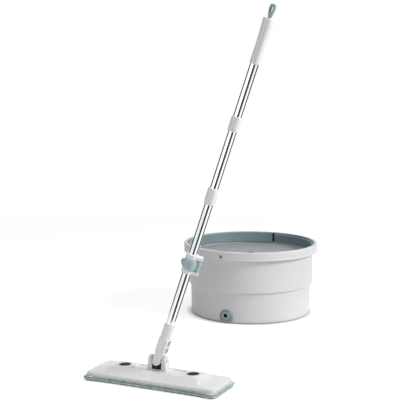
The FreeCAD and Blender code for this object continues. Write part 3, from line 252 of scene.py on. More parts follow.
def make_streak(name, near, far):
    """Card on the floor where the band from near to far of the pole's half width sees it by reflection."""
    points = []
    for height in STREAK_HEIGHTS:
        start = PIVOT + POLE_LINE * float(height)
        sight = (start - CAMERA_AT).normalized()
        across = sight.cross(POLE_LINE).normalized()
        facing = -(sight - POLE_LINE * sight.dot(POLE_LINE)).normalized()
        for share in (near, far):
            normal = across * share + facing * math.sqrt(1 - share * share)
            leaving = sight - normal * (2 * sight.dot(normal))
            points.append(tuple(start + leaving * (start.z - STREAK_LIFT) / -leaving.z))
    faces = [(i, i + 1, i + 3, i + 2) for i in range(0, len(points) - 2, 2)]
    dark_card(name, points, faces)


# ---------------------------------------------------------------- materials


def feed(tree, socket, value):
    """Links an output to a socket, or sets the socket to a constant."""
    if isinstance(value, bpy.types.NodeSocket):
        tree.links.new(value, socket)
    else:
        socket.default_value = value


def add_node(tree, kind, *values, **settings):
    """New node, its first inputs fed with the values in order, and its other inputs and settings by name."""
    node = tree.nodes.new(kind)
    for socket, value in zip(node.inputs, values):
        feed(tree, socket, value)
    for name, value in settings.items():
        if name in node.inputs.keys():
            feed(tree, node.inputs[name], value)
        else:
            setattr(node, name, value)
    return node


def object_place(tree, scale=(1, 1, 1), turn=(0, 0, 0)):
    """Texture place in the row frame, stretched and turned."""
    where = add_node(tree, "ShaderNodeTexCoord").outputs["Object"]
    return add_node(tree, "ShaderNodeMapping", where, Scale=scale, Rotation=turn).outputs["Vector"]


def noise(tree, place, scale, detail):
    return add_node(tree, "ShaderNodeTexNoise", place, Scale=scale, Detail=detail).outputs["Fac"]


def spread(tree, value, low, high, out_low, out_high):
    """Takes a value from one range to another, and no further."""
    return add_node(tree, "ShaderNodeMapRange", value, low, high, out_low, out_high).outputs["Result"]


def blend_colours(tree, factor, first, second):
    node = add_node(tree, "ShaderNodeMix", factor, data_type="RGBA")
    feed(tree, node.inputs[6], first)
    feed(tree, node.inputs[7], second)
    return node.outputs[2]


def total(tree, first, second, operation="ADD"):
    return add_node(tree, "ShaderNodeMath", first, second, operation=operation).outputs[0]


def bump(tree, height, strength, distance):
    node = add_node(tree, "ShaderNodeBump", Height=height, Strength=strength, Distance=distance)
    return node.outputs["Normal"]


def shaded(colour, shift):
    return tuple(min(1.0, max(0.0, channel * shift)) for channel in colour[:3]) + (1.0,)


def new_material(name, **constants):
    made = bpy.data.materials.new(name)
    made.use_nodes = True
    inputs = made.node_tree.nodes["Principled BSDF"].inputs
    for socket, value in constants.items():
        inputs[socket.replace("_", " ")].default_value = value
    return made, made.node_tree


def surface(made, colour, relief, roughness=None):
    """Feeds a material's colour and relief and, where it varies, its roughness."""
    tree, inputs = made.node_tree, made.node_tree.nodes["Principled BSDF"].inputs
    feed(tree, inputs["Base Color"], colour)
    feed(tree, inputs["Normal"], relief)
    if roughness:
        feed(tree, inputs["Roughness"], roughness)
    return made


CLOUDING = 0.03             # how far flow clouds lighten and darken moulded plastic
EDGE_WEAR = 0.05


def moulded_plastic(name, colour, roughness):
    """Moulded plastic: fine grain, faint flow clouding, rubbed edges and a few smudges."""
    made, tree = new_material(name)
    place = object_place(tree)
    clouds = spread(tree, noise(tree, place, 7.0, 3.0), 0.35, 0.65, 0.0, 1.0)
    body = blend_colours(tree, clouds, shaded(colour, 1 - CLOUDING), shaded(colour, 1 + CLOUDING))
    edges = add_node(tree, "ShaderNodeNewGeometry").outputs["Pointiness"]
    rubbed = spread(tree, edges, 0.505, 0.56, 0.0, EDGE_WEAR)
    body = blend_colours(tree, rubbed, body, shaded(colour, 1.18))
    smudges = spread(tree, noise(tree, place, 24.0, 4.0), 0.3, 0.7, roughness - 0.05, roughness + 0.06)
    grain = noise(tree, place, 1400.0, 3.0)
    return surface(made, body, bump(tree, grain, 0.35, 0.00003), smudges)


def height_in(tree, place):
    return add_node(tree, "ShaderNodeSeparateXYZ", place).outputs["Z"]


def top_highlit_plastic(name, colour, edge, roughness):
    """The liner's plastic: the same moulding, with a painted greener highlight along its top edge."""
    made = moulded_plastic(name, colour, roughness)
    tree, base = made.node_tree, made.node_tree.nodes["Principled BSDF"].inputs["Base Color"]
    plain = base.links[0].from_socket
    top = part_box("rim_liner")[1][2]
    # painted highlight: greener colour in a band just under the liner's top
    painted_highlight_band = spread(tree, height_in(tree, object_place(tree)), top - 0.0022, top - 0.0008, 0.0, 1.0)
    feed(tree, base, blend_colours(tree, painted_highlight_band, plain, edge))
    return made


def polished_tube(name, colour, turn):
    """Chromed tube: drawing lines along it, a breath of haze and a few finger smudges."""
    made, tree = new_material(name, Metallic=1.0)
    lines = noise(tree, object_place(tree, (1800, 1800, 14), turn), 1.0, 2.0)
    smudges = noise(tree, object_place(tree), 30.0, 4.0)
    tint = blend_colours(tree, spread(tree, smudges, 0.35, 0.7, 0.0, 1.0), colour, shaded(colour, 0.94))
    rough_lines = spread(tree, lines, 0.3, 0.7, 0.0, 0.03)
    haze = total(tree, spread(tree, smudges, 0.4, 0.75, 0.045, 0.13), rough_lines)
    return surface(made, tint, bump(tree, lines, 0.08, 0.00002), haze)


def plated_steel(name, colour, roughness=0.32):
    made, tree = new_material(name, Metallic=1.0)
    place = object_place(tree)
    grain = noise(tree, place, 900.0, 3.0)
    patches = spread(tree, noise(tree, place, 60.0, 3.0), 0.35, 0.65, 0.0, 1.0)
    tint = blend_colours(tree, patches, colour, shaded(colour, 0.85))
    haze = spread(tree, grain, 0.2, 0.8, roughness - 0.08, roughness + 0.1)
    return surface(made, tint, bump(tree, grain, 0.2, 0.00003), haze)


def matt_rubber(name, colour):
    made, tree = new_material(name, Specular_IOR_Level=0.25)
    place = object_place(tree)
    grain = noise(tree, place, 2200.0, 2.0)
    dust = spread(tree, noise(tree, place, 120.0, 5.0), 0.45, 0.75, 0.0, 0.3)
    tint = blend_colours(tree, dust, colour, shaded(colour, 1.8))
    return surface(made, tint, bump(tree, grain, 0.5, 0.00005), spread(tree, grain, 0.3, 0.7, 0.62, 0.8))


def cells(tree, place, scale):
    return add_node(tree, "ShaderNodeTexVoronoi", place, Scale=scale).outputs["Distance"]


def woven_tape(name, colour):
    """Hook tape: rows of fine hooks on a woven ground."""
    made, tree = new_material(name, Roughness=0.85)
    lift = cells(tree, object_place(tree, (900, 900, 900)), 1.0)
    tint = blend_colours(tree, lift, shaded(colour, 1.6), colour)
    return surface(made, tint, bump(tree, lift, 0.8, 0.0004))


PAD_GROOVES = (3.4, 9.4)    # mm, heights of the sewn lines round the pad's edge


def microfibre(name, pile, binding):
    """Looped microfibre: mottled yarn ends over a darker ground, and sewn lines darkened as dirt and painted shade
    in their grooves.
    """
    made, tree = new_material(name, Roughness=0.92, Sheen_Weight=0.35, Sheen_Roughness=0.5)
    place = object_place(tree)
    tufts = spread(tree, cells(tree, place, 420.0), 0.0, 0.75, 0.0, 1.0)
    patches = spread(tree, noise(tree, place, 70.0, 3.0), 0.35, 0.65, 0.0, 1.0)
    yarn = blend_colours(tree, patches, pile, binding)
    cover = blend_colours(tree, tufts, shaded(pile, 1.25), yarn)
    height = height_in(tree, place)
    seam_dirt_and_shade = None
    # darker bands at the sewn lines: dirt and painted shade in the grooves
    for level in PAD_GROOVES:
        away = total(tree, total(tree, height, level * MM, "SUBTRACT"), 0.0, "ABSOLUTE")
        line = spread(tree, away, 0.0005, 0.0018, 0.85, 0.0)
        seam_dirt_and_shade = total(tree, seam_dirt_and_shade, line, "MAXIMUM") if seam_dirt_and_shade else line
    tint = blend_colours(tree, seam_dirt_and_shade, cover, shaded(binding, 0.45))
    fibres = noise(tree, place, 2600.0, 3.0)
    return surface(made, tint, bump(tree, total(tree, tufts, fibres), 0.7, 0.0006))


# colour and roughness of each moulded plastic
PLASTICS = {
    "bucket_plastic": ((0.71, 0.70, 0.715, 1), 0.42),
    "teal_plastic": (linear(122, 143, 149), 0.36),
    "pale_teal": (linear(168, 189, 191), 0.28),
    "ring_teal": (linear(150, 173, 177), 0.3),
    "tray_plastic": ((0.31, 0.305, 0.32, 1), 0.42),
    "pole_plastic": ((0.88, 0.88, 0.88, 1), 0.3),
    # grey of the socket's pocket pads, partly painted shade for the recesses
    "pocket_grey_and_shade": ((0.32, 0.32, 0.33, 1), 0.5),
    "plate_plastic": ((0.78, 0.78, 0.79, 1), 0.28),
    "nylon": ((0.82, 0.80, 0.74, 1), 0.4),
}


def make_materials():
    made = {name: moulded_plastic(name, *look) for name, look in PLASTICS.items()}
    # the second colour is the painted highlight along the liner's top edge
    made["liner_teal"] = top_highlit_plastic("liner_teal", linear(112, 133, 139), linear(58, 138, 130), 0.36)
    made["dark_pin"] = plated_steel("dark_pin", (0.16, 0.16, 0.17, 1), 0.4)
    made["tube_chrome"] = polished_tube("tube_chrome", (0.86, 0.87, 0.88, 1), (0, -LEAN, 0))
    made["steel"] = plated_steel("steel", (0.62, 0.63, 0.64, 1))
    made["black_rubber"] = matt_rubber("black_rubber", (0.009, 0.009, 0.010, 1))
    made["microfibre"] = microfibre("microfibre", linear(206, 219, 215), linear(130, 149, 147))
    made["hook_tape"] = woven_tape("hook_tape", (0.06, 0.065, 0.07, 1))
    return made


MATERIALS = make_materials()


# ---------------------------------------------------------------- shapes, in millimetres


def box_mm(node):
    """Lowest and highest corner of a CAD node at rest."""
    low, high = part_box(node)
    return np.array(low) / MM, np.array(high) / MM


def pole_points(node):
    """A CAD node's points in the pole's own frame, in millimetres."""
    back = POLE.inverted()
    return np.array([back @ vertex.co for vertex in NODES[node].data.vertices]) / MM


def along_pole(node):
    """Where a CAD node starts and ends along the pole, and its outer radius."""
    local = pole_points(node)
    return local[:, 2].min(), local[:, 2].max(), np.hypot(local[:, 0], local[:, 1]).max()


def bore_of(node):
    """Smallest radius that a CAD node's shape comes to round the pole's line."""
    local = pole_points(node)
    return np.hypot(local[:, 0], local[:, 1]).min()


def pole_middle(node):
    """Middle of a CAD node's box in the pole's own frame."""
    local = pole_points(node)
    return (local.min(axis=0) + local.max(axis=0)) / 2


def round_z(section, angle):
    """A (radius, height) section stood upright at an angle round Z."""
    return [(radius * math.cos(angle), radius * math.sin(angle), height) for radius, height in section]


ARC_SHARE = 0.48            # of the shorter side next to a corner, for its arc
STRAIGHT_HALF = 1.55        # half a corner's angle, from which it counts as straight


def rounded(corners, steps=4):
    """Closed outline from (x, y, radius) corners, each rounded by an arc."""
    points = []
    count = len(corners)
    for index, (x, y, radius) in enumerate(corners):
        here = np.array([x, y])
        before = np.array(corners[index - 1][:2]) - here
        after = np.array(corners[(index + 1) % count][:2]) - here
        length_before, length_after = np.hypot(*before), np.hypot(*after)
        if radius <= 0 or min(length_before, length_after) < 1e-6:
            points.append(here)
            continue
        before, after = before / length_before, after / length_after
        half = math.acos(max(-1.0, min(1.0, float(before @ after)))) / 2
        room = ARC_SHARE * min(length_before, length_after)
        cut = min(radius / math.tan(half), room) if half < STRAIGHT_HALF else 0.0
        radius = cut * math.tan(half)
        middle = here + (before + after) / max(1e-9, np.hypot(*(before + after))) * radius / math.sin(half)
        first, last = here + before * cut - middle, here + after * cut - middle
        turn = math.pi - 2 * half
        for step in range(steps + 1):
            share = step / steps
            if turn < 1e-3:
                points.append(here)
                continue
            arm = (math.sin((1 - share) * turn) * first + math.sin(share * turn) * last) / math.sin(turn)
            points.append(middle + arm)
    return [tuple(point) for point in points]


def swept(rings, closed):
    """Skin over rings of equally many points; an open run gets flat ends."""
    size = len(rings[0])
    points = [tuple(point) for ring in rings for point in ring]
    faces = []
    count = len(rings)
    for index in range(count if closed else count - 1):
        here, there = index * size, (index + 1) % count * size
        for step in range(size):
            after = (step + 1) % size
            faces.append((here + step, here + after, there + after, there + step))
    if not closed:
        faces.append(tuple(range(size))[::-1])
        faces.append(tuple(range((count - 1) * size, count * size)))
    return points, faces


def turned(outline, segments=128, start=0.0, end=360.0):
    """Closed (radius, height) outline turned about Z, all the way round or from one angle to another."""
    whole = end - start > 359.9
    count = segments if whole else segments + 1
    angles = [math.radians(start + (end - start) * index / segments) for index in range(count)]
    return swept([round_z(outline, angle) for angle in angles], whole)


def moved(shape, place):
    points, faces = shape
    return [tuple(place @ Vector(point)) for point in points], faces


def together(*shapes):
    points, faces = [], []
    for some_points, some_faces in shapes:
        base = len(points)
        points += some_points
        faces += [tuple(base + corner for corner in face) for face in some_faces]
    return points, faces


def cuboid(low, high):
    points = [(x, y, z) for z in (low[2], high[2]) for y in (low[1], high[1]) for x in (low[0], high[0])]
    faces = [(0, 2, 3, 1), (4, 5, 7, 6), (0, 1, 5, 4), (2, 6, 7, 3), (0, 4, 6, 2), (1, 3, 7, 5)]
    return points, faces


def rectangle(low_x, high_x, low_y, high_y, low_round, high_round, steps=4):
    """Outline of a rectangle, with one radius for its low corners and one for its high ones."""
    radii = (low_round, low_round, high_round, high_round)
    places = ((low_x, low_y), (high_x, low_y), (high_x, high_y), (low_x, high_y))
    return rounded([place + (radius,) for place, radius in zip(places, radii)], steps)


def pin(radius, start, end, round_end=0.4, segments=40):
    """Solid round bar along Z with softened ends."""
    outline = rounded([(0, start, 0), (radius, start, round_end), (radius, end, round_end), (0, end, 0)])
    return turned(outline, segments)


def along_y(x, y, z):
    """Turns a shape drawn along +Z to lie along +Y, standing at a point."""
    return Matrix.Translation((x, y, z)) @ Matrix.Rotation(-math.pi / 2, 4, "X")


def smooth_step(value, low, high):
    share = np.clip((value - low) / (high - low), 0.0, 1.0)
    return share * share * (3 - 2 * share)


def smooth_line(stops, count):
    """Smooth run through (height, radius) stops, evenly sampled, as (radius, height) points."""
    heights = np.array([stop[0] for stop in stops], float)
    radii = np.array([stop[1] for stop in stops], float)
    slopes = np.gradient(radii, heights)
    samples = np.linspace(heights[0], heights[-1], count)
    result = []
    for height in samples:
        index = min(len(heights) - 2, int(np.searchsorted(heights, height, "right")) - 1)
        width = heights[index + 1] - heights[index]
        t = (height - heights[index]) / width
        radius = ((1 + 2 * t) * (1 - t) ** 2 * radii[index] + t * (1 - t) ** 2 * width * slopes[index]
                  + t * t * (3 - 2 * t) * radii[index + 1] + t * t * (t - 1) * width * slopes[index + 1])
        result.append((radius, height))
    return result


# ---------------------------------------------------------------- pieces


WELD = 2e-6                 # metres, points closer than this are one
CAD_WELD = 5e-6             # the same, in a CAD node's triangles
SHORTEST_EDGE = 1e-6
FLAT_ANGLE = 1.0            # degrees, below which neighbouring CAD triangles are one face


def mesh_object(name, shape, place=Matrix()):
    """Mesh object in metres from a shape in millimetres, welded and with its faces turned out."""
    points, faces = shape
    piece = plain_object(name, [place @ (Vector(point) * MM) for point in points], faces)
    work = bmesh.new()
    work.from_mesh(piece.data)
    bmesh.ops.remove_doubles(work, verts=work.verts, dist=WELD)
    bmesh.ops.dissolve_degenerate(work, edges=work.edges, dist=SHORTEST_EDGE)
    bmesh.ops.recalc_face_normals(work, faces=work.faces)
    work.to_mesh(piece.data)
    work.free()
    return piece


def settle(piece):
    """Applies the piece's modifiers to its mesh."""
    bpy.context.view_layer.update()
    graph = bpy.context.evaluated_depsgraph_get()
    mesh = bpy.data.meshes.new_from_object(piece.evaluated_get(graph))
    piece.modifiers.clear()
    piece.data = mesh
    return piece


def combine(piece, others, operation):
    """Joins the others to the piece, or cuts them from it, and leaves one closed mesh."""
    for other in others:
        work = piece.modifiers.new("combine", "BOOLEAN")
        work.operation = operation
        work.solver = "EXACT"
        work.object = other
    settle(piece)
    for other in others:
        bpy.data.objects.remove(other)
    return piece


def finish_piece(piece, slot, body, *nodes, sharp=38.0, look=None):
    """Smooth shading with kept edges, the slot's material, and the body that the piece rides on."""
    piece.data.materials.clear()
    piece.data.materials.append(MATERIALS[look or slot])
    piece.data.shade_smooth()
    piece.data.set_sharp_from_angle(angle=math.radians(sharp))
    even = piece.modifiers.new("even", "WEIGHTED_NORMAL")
    even.keep_sharp = True
    settle(piece)
    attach(piece, body)
    if nodes:
        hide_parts(*nodes)
    return piece


def finish_node(piece, node, sharp=38.0, look=None):
    """Finishes a piece that takes the place of one CAD node."""
    return finish_piece(piece, SLOT_OF[node], BODY_OF[node], node, sharp=sharp, look=look)


def bevel(piece, width, angle):
    """Rounds the edges that are sharper than the angle."""
    edge = piece.modifiers.new("edge", "BEVEL")
    edge.width = width * MM
    edge.segments = 3
    edge.limit_method = "ANGLE"
    edge.angle_limit = math.radians(angle)
    settle(piece)


def softened(node, width, look):
    """A CAD node's shape as a moulding: welded, flat faces cleaned up, and every hard edge rounded."""
    mesh = NODES[node].data.copy()
    piece = bpy.data.objects.new(node + "_moulded", mesh)
    bpy.context.scene.collection.objects.link(piece)
    work = bmesh.new()
    work.from_mesh(mesh)
    bmesh.ops.remove_doubles(work, verts=work.verts, dist=CAD_WELD)
    bmesh.ops.dissolve_limit(work, angle_limit=math.radians(FLAT_ANGLE), verts=work.verts, edges=work.edges)
    work.to_mesh(mesh)
    work.free()
    bevel(piece, width, 30)
    finish_node(piece, node, look=look)


# ---------------------------------------------------------------- bucket

RIM_WIDTH = 10.0
RIM_LIP = 26.5
BUCKET_WALL = 2.8
WALL_INSET = 15.0
STEP_INSET = 7.0
STEP_HEIGHT = 95.0
BASE_TAPER = 2.0
BASE_ROUND = 12.0
BASE_THICK = 3.5
FOOT_RING = 168.0
FOOT_RECESS = 1.6
COLUMN_RING = 45.6
COLUMN_RING_TOP = 8.5
POST_RING = 35.0
POST_RADIUS = 6.0
POST_HEIGHT = 9.0
FITTING_BOTTOM = 2.5        # inside the thickness of the base
DRAIN_NECK = 11.0
DRAIN_BORE = 8.6
BOSS_DEPTH = 12.0           # of the drain collar's boss, into the bucket's wall

LINER_HEIGHT = 26.7
LINER_WALL = 7.8
LINER_RING = 2.7
LINER_CLEAR = 0.5
LINER_DROP = 5.5
LINER_START = 6.5
BAIL_WALL = 2.8
BAIL_FLANGE = 2.8
BAIL_BOSS = 8.0
BAIL_EDGE = 0.7
FLANGE_START, FLANGE_FULL = 20.0, 34.0
FLANGE_LEAST = 0.02         # so that the section has as many points where there is no flange
# depth of the dark blocks put in the bail's end gaps as painted shade
GAP_SHADE_DEPTH = 5.0
PIN_SHANK = 3.4
TRAY_TO_BAIL = 1.2
TRAY_THICK = 3.0
TRAY_SKIRT = 14.0
TRAY_RIBS = 8
RIB_HALF = 1.2
RIPPLE_PITCH = 9.0
RIPPLE_DEPTH = 0.16
HUB_WALL = 6.0
FIT = 0.1                   # round the bearings and the cap in the tray


def make_bucket_shell():
    """Turned shell with a folded rim, a stepped wall, a sunk base, the column's ring and four posts."""
    high = box_mm("bucket_shell")[1]
    rim, top = high[0], high[2]
    upper = rim - WALL_INSET
    lower = upper - STEP_INSET
    base = lower - BASE_TAPER
    ledge = box_mm("rim_liner")[1][2] - LINER_HEIGHT
    inner = rim - RIM_WIDTH
    wall = BUCKET_WALL
    lip = top - RIM_LIP
    outline = rounded([
        (0, FOOT_RECESS, 0), (FOOT_RING - 2.5, FOOT_RECESS, 1.0), (FOOT_RING, 0, 1.0), (base, 0, BASE_ROUND),
        (lower, STEP_HEIGHT, 2.2), (upper, STEP_HEIGHT + 0.6, 2.8), (upper, ledge - wall, 1.4),
        (inner + wall, ledge - wall, 1.2), (inner + wall, top - wall, 1.0), (rim - wall, top - wall, 1.0),
        (rim - wall, lip, 0.8), (rim, lip, 1.1), (rim, lip + 4.0, 0.8), (rim - 0.5, lip + 5.2, 0.8),
        (rim - 0.5, top, 2.6), (inner, top, 1.6), (inner, ledge, 0.8), (upper - wall, ledge, 1.2),
        (upper - wall, STEP_HEIGHT + wall + 0.8, 2.0), (lower - wall, STEP_HEIGHT, 2.4),
        (base - wall, BASE_THICK, BASE_ROUND - wall), (0, BASE_THICK, 0)], steps=5)
    shell = mesh_object("bucket_body", turned(outline, 240))
    ring = rectangle(COLUMN_RING - 1.3, COLUMN_RING + 1.4, FITTING_BOTTOM, COLUMN_RING_TOP, 0, 0.6)
    fittings = [mesh_object("ring", turned(ring, 96))]
    post = pin(POST_RADIUS, FITTING_BOTTOM, BASE_THICK + POST_HEIGHT, 0.8)
    for index in range(4):
        angle = math.radians(45 + 90 * index)
        place = Matrix.Translation((POST_RING * MM * math.cos(angle), POST_RING * MM * math.sin(angle), 0))
        fittings.append(mesh_object("post", post, place))
    combine(shell, fittings, "UNION")
    low, high = box_mm("drain_plug")
    bore = moved(pin(DRAIN_NECK, 0, 40, 0, 48), along_y(0, -base - 10, (low[2] + high[2]) / 2))
    combine(shell, [mesh_object("bore", bore)], "DIFFERENCE")
    finish_node(shell, "bucket_shell", sharp=50)


def make_rim_liner():
    """Ring inside the rim; the half away from the bail stands in to the bail's face and hangs lower."""
    high = box_mm("rim_liner")[1]
    outer, top = high[0], high[2]
    ledge = top - LINER_HEIGHT
    bottom = box_mm("bail_handle")[0][2]
    band = bail_web()[1] + LINER_CLEAR
    ring = rectangle(outer - LINER_RING, outer, ledge, top, 0.6, 0.9)
    half = rounded([
        (band, bottom, 0.45), (outer - LINER_WALL, bottom, 0.45), (outer - LINER_WALL, ledge, 0.4),
        (outer - 0.2, ledge, 0.4), (outer - 0.2, top - 0.9, 1.0), (outer - 3.6, top - 0.9, 0.8),
        (outer - 5.0, top - LINER_DROP, 1.0), (band, top - LINER_DROP, 1.4)])
    swing = math.degrees(math.acos(LINER_START / band))
    liner = mesh_object("liner_ring", turned(ring, 200))
    combine(liner, [mesh_object("half", turned(half, 140, -swing, swing))], "UNION")
    finish_node(liner, "rim_liner", sharp=45, look="liner_teal")


def bail_web():
    """Inner and outer radius of the bail's upright band, and the reach of its flange."""
    outer = box_mm("spin_tray")[1][0] + TRAY_TO_BAIL + BAIL_WALL
    return outer - BAIL_WALL, outer, -box_mm("bail_handle")[0][0]


def make_bail_handle():
    """Half hoop whose flange grows out from its band, with a boss at each end."""
    low, high = box_mm("bail_handle")
    inner, outer, reach = bail_web()
    bottom, top = low[2], high[2]
    pivot = np.array(JOINTS["bail_hinge"]["pos_m"]) / MM
    end = math.degrees(math.acos((pivot[0] + BAIL_BOSS) / inner))
    rings = []
    steps = 180
    for index in range(steps + 1):
        angle = math.radians(end + (360 - 2 * end) * index / steps)
        grown = float(smooth_step(-outer * math.cos(angle), FLANGE_START, FLANGE_FULL))
        out = outer + FLANGE_LEAST + (reach - outer) * grown
        section = rounded([
            (inner, bottom, 1.1), (outer, bottom, 1.1), (outer, top - BAIL_FLANGE, 1.0),
            (out, top - BAIL_FLANGE, 1.1), (out, top, 1.3), (inner, top, 1.3)])
        rings.append(round_z(section, angle))
    bail = mesh_object("bail_band", swept(rings, False))
    bevel(bail, BAIL_EDGE, 60)
    boss_end = math.sqrt(reach ** 2 - (abs(pivot[0]) + BAIL_BOSS) ** 2)
    boss_start = inner + BAIL_WALL / 2
    boss = pin(BAIL_BOSS, 0, boss_end - boss_start, 0.8, 56)
    places = [along_y(pivot[0], start, pivot[2]) for start in (-boss_end, boss_start)]
    combine(bail, [mesh_object("boss", moved(boss, place)) for place in places], "UNION")
    finish_node(bail, "bail_handle", sharp=45)


def make_bail_gap_shade():
    """Dark rubber blocks in the gaps between the bail's ends and the liner: painted shade for the dark gaps."""
    outside, top = box_mm("rim_liner")[1][[0, 2]]
    low = box_mm("bail_handle")[0][2] + 1
    high = top - LINER_DROP + 2
    inner = bail_web()[1] + LINER_CLEAR + 0.4
    outer = inner + GAP_SHADE_DEPTH
    ledge = top - LINER_HEIGHT + 0.2
    section = rounded([
        (inner, low, 0.2), (outside - LINER_WALL, low, 0.2), (outside - LINER_WALL, ledge, 0.1),
        (outer, ledge, 0.4), (outer, high, 0.8), (inner, high, 0.5)])
    first = math.degrees(math.acos(LINER_START / inner)) - 0.1
    last = 90 + math.degrees(math.asin(0.5 / inner))
    shapes = [turned(section, 6, first, last), turned(section, 6, -last, -first)]
    finish_piece(mesh_object("bail_gap_shade", together(*shapes)), "black_rubber", "bucket")


def make_bail_pins():
    """Two rivets through the rim, each with a small dimple in its head."""
    low, high = box_mm("bail_pins")
    pivot = np.array(JOINTS["bail_hinge"]["pos_m"]) / MM
    rim = box_mm("bucket_shell")[1][0]
    proud = high[1] - rim
    face = rim + proud
    head = (high[0] - low[0]) / 2
    inner = bail_web()[0] + 1.8
    outline = rounded([
        (0, inner, 0), (PIN_SHANK, inner, 0.5), (PIN_SHANK, rim - 0.3, 0.2), (head, rim - 0.3, 0.2),
        (head, rim + proud * 0.55, 0.5), (head * 0.55, face, 1.2), (1.6, face, 0.3), (1.3, face - 0.7, 0.3),
        (0, face - 0.7, 0)])
    back = moved(turned(outline, 48), along_y(pivot[0], 0, pivot[2]))
    front = ([(x, -y, z) for x, y, z in back[0]], [corners[::-1] for corners in back[1]])
    finish_node(mesh_object("bail_rivets", together(front, back)), "bail_pins", look="dark_pin")


def make_spin_tray():
    """Flat tray with fine turned rings on top, a skirt, and a ribbed and hubbed underside."""
    low, high = box_mm("spin_tray")
    radius, top, bottom = high[0], high[2], low[2]
    cap_radius = box_mm("hub_cap")[1][0] + FIT
    bearing, shoulder = box_mm("tray_bearings")[1][[0, 2]] + FIT
    hub = bearing + HUB_WALL
    under, skirt, inside = top - TRAY_THICK, top - TRAY_SKIRT, radius - TRAY_THICK
    edge = rounded([
        (radius - 3, top, 0), (radius, top, 1.4), (radius, skirt, 0.8), (inside, skirt, 0.8),
        (inside, under, 1.6), (hub, under, 2.0), (hub, bottom, 1.0), (bearing, bottom, 0.5),
        (bearing, shoulder, 0.2), (cap_radius, shoulder, 0.2), (cap_radius, top, 0.5)])
    ripple = []
    for r in np.linspace(cap_radius + 3, radius - 4, 120):
        fade = smooth_step(r, cap_radius + 3, cap_radius + 14) * (1 - smooth_step(r, radius - 14, radius - 4))
        ripple.append((r, top - RIPPLE_DEPTH * float(fade) * (1 + math.cos(2 * math.pi * r / RIPPLE_PITCH))))
    shapes = [turned(edge + ripple, 180)]
    rib = cuboid((hub - 1, -RIB_HALF, skirt), (radius - 2, RIB_HALF, top - 1.2))
    for index in range(TRAY_RIBS):
        angle = math.radians(22.5 + 360 / TRAY_RIBS * index)
        shapes.append(moved(rib, Matrix.Rotation(angle, 4, "Z")))
    finish_node(mesh_object("tray_disc", together(*shapes)), "spin_tray", sharp=40)


def make_hub_cap():
    low, high = box_mm("hub_cap")
    radius, top, bottom = high[0], high[2], low[2]
    outline = rounded([
        (0, bottom, 0), (radius, bottom, 0.3), (radius, top - 1.0, 0.1), (radius - 1, top - 1.0, 0.1),
        (radius - 1, top - 0.15, 0.7), (radius * 0.62, top, 0.5), (radius * 0.5, top - 0.5, 0.5),
        (0, top - 0.35, 0)])
    finish_node(mesh_object("hub_button", turned(outline, 72)), "hub_cap")


def polar(outline, count=120):
    """A star-shaped outline's radius at evenly spaced angles."""
    points = np.array(outline)
    angles = np.unwrap(np.arctan2(points[:, 1], points[:, 0]))
    radii = np.hypot(points[:, 0], points[:, 1])
    order = np.argsort(angles % (2 * math.pi))
    wanted = np.linspace(0, 2 * math.pi, count, endpoint=False)
    return wanted, np.interp(wanted, (angles % (2 * math.pi))[order], radii[order], period=2 * math.pi)


def fine_outline(corners, step=0.5):
    """Rounded outline cut into short runs, so that it can be read by angle."""
    points = rounded(corners, 8)
    result = []
    for index, here in enumerate(points):
        there = points[(index + 1) % len(points)]
        parts = max(1, int(math.dist(here, there) / step))
        for part in range(parts):
            share = part / parts
            result.append((here[0] + (there[0] - here[0]) * share, here[1] + (there[1] - here[1]) * share))
    return result


def make_drain_collar():
    """Domed six-sided boss on the bucket's front, with a ring round the plug."""
    low, high = box_mm("drain_collar")
    plug_low, plug_high = box_mm("drain_plug")
    middle = (plug_low[2] + plug_high[2]) / 2
    half_width, half_height = (high[0] - low[0]) / 2, high[2] - middle
    front = low[1]
    back = front + BOSS_DEPTH
    plug = (plug_high[0] - plug_low[0]) / 2
    shoulder = (half_width, half_height * 0.2, 7)
    side = [(half_width, -half_height, 4), shoulder, (half_width * 0.48, half_height, 7)]
    corners = side + [(-x, y, radius) for x, y, radius in side[::-1]]
    angles, edge = polar(fine_outline(corners[-1:] + corners[:-1]))
    layers = [
        (edge, BOSS_DEPTH), (edge, 3.4), (edge - 0.35, 2.3), (edge - 1.3, 1.4),
        ((edge + plug + 3.2) / 2, 0.7), (plug + 3.4, 0.2), (plug + 3.0, -0.1), (plug + 2.5, -0.1),
        (plug + 2.0, 0.25), (plug + 1.4, 0.6), (plug + 0.7, 0.5), (plug + 0.5, 0.8), (plug + 0.5, 1.5),
        (DRAIN_BORE, 1.5), (DRAIN_BORE, BOSS_DEPTH)]
    rings = []
    for radius, depth in layers:
        spokes = zip(np.broadcast_to(radius, angles.shape), angles)
        rings.append([(r * math.cos(a), front + depth, middle + r * math.sin(a)) for r, a in spokes])
    collar = mesh_object("drain_boss", swept(rings, True))
    neck = turned(rectangle(DRAIN_BORE, DRAIN_NECK - 0.05, 0, high[1] - back + 1, 0.2, 0.5), 64)
    combine(collar, [mesh_object("neck", moved(neck, along_y(0, back - 1, middle)))], "UNION")
    finish_node(collar, "drain_collar", sharp=50)


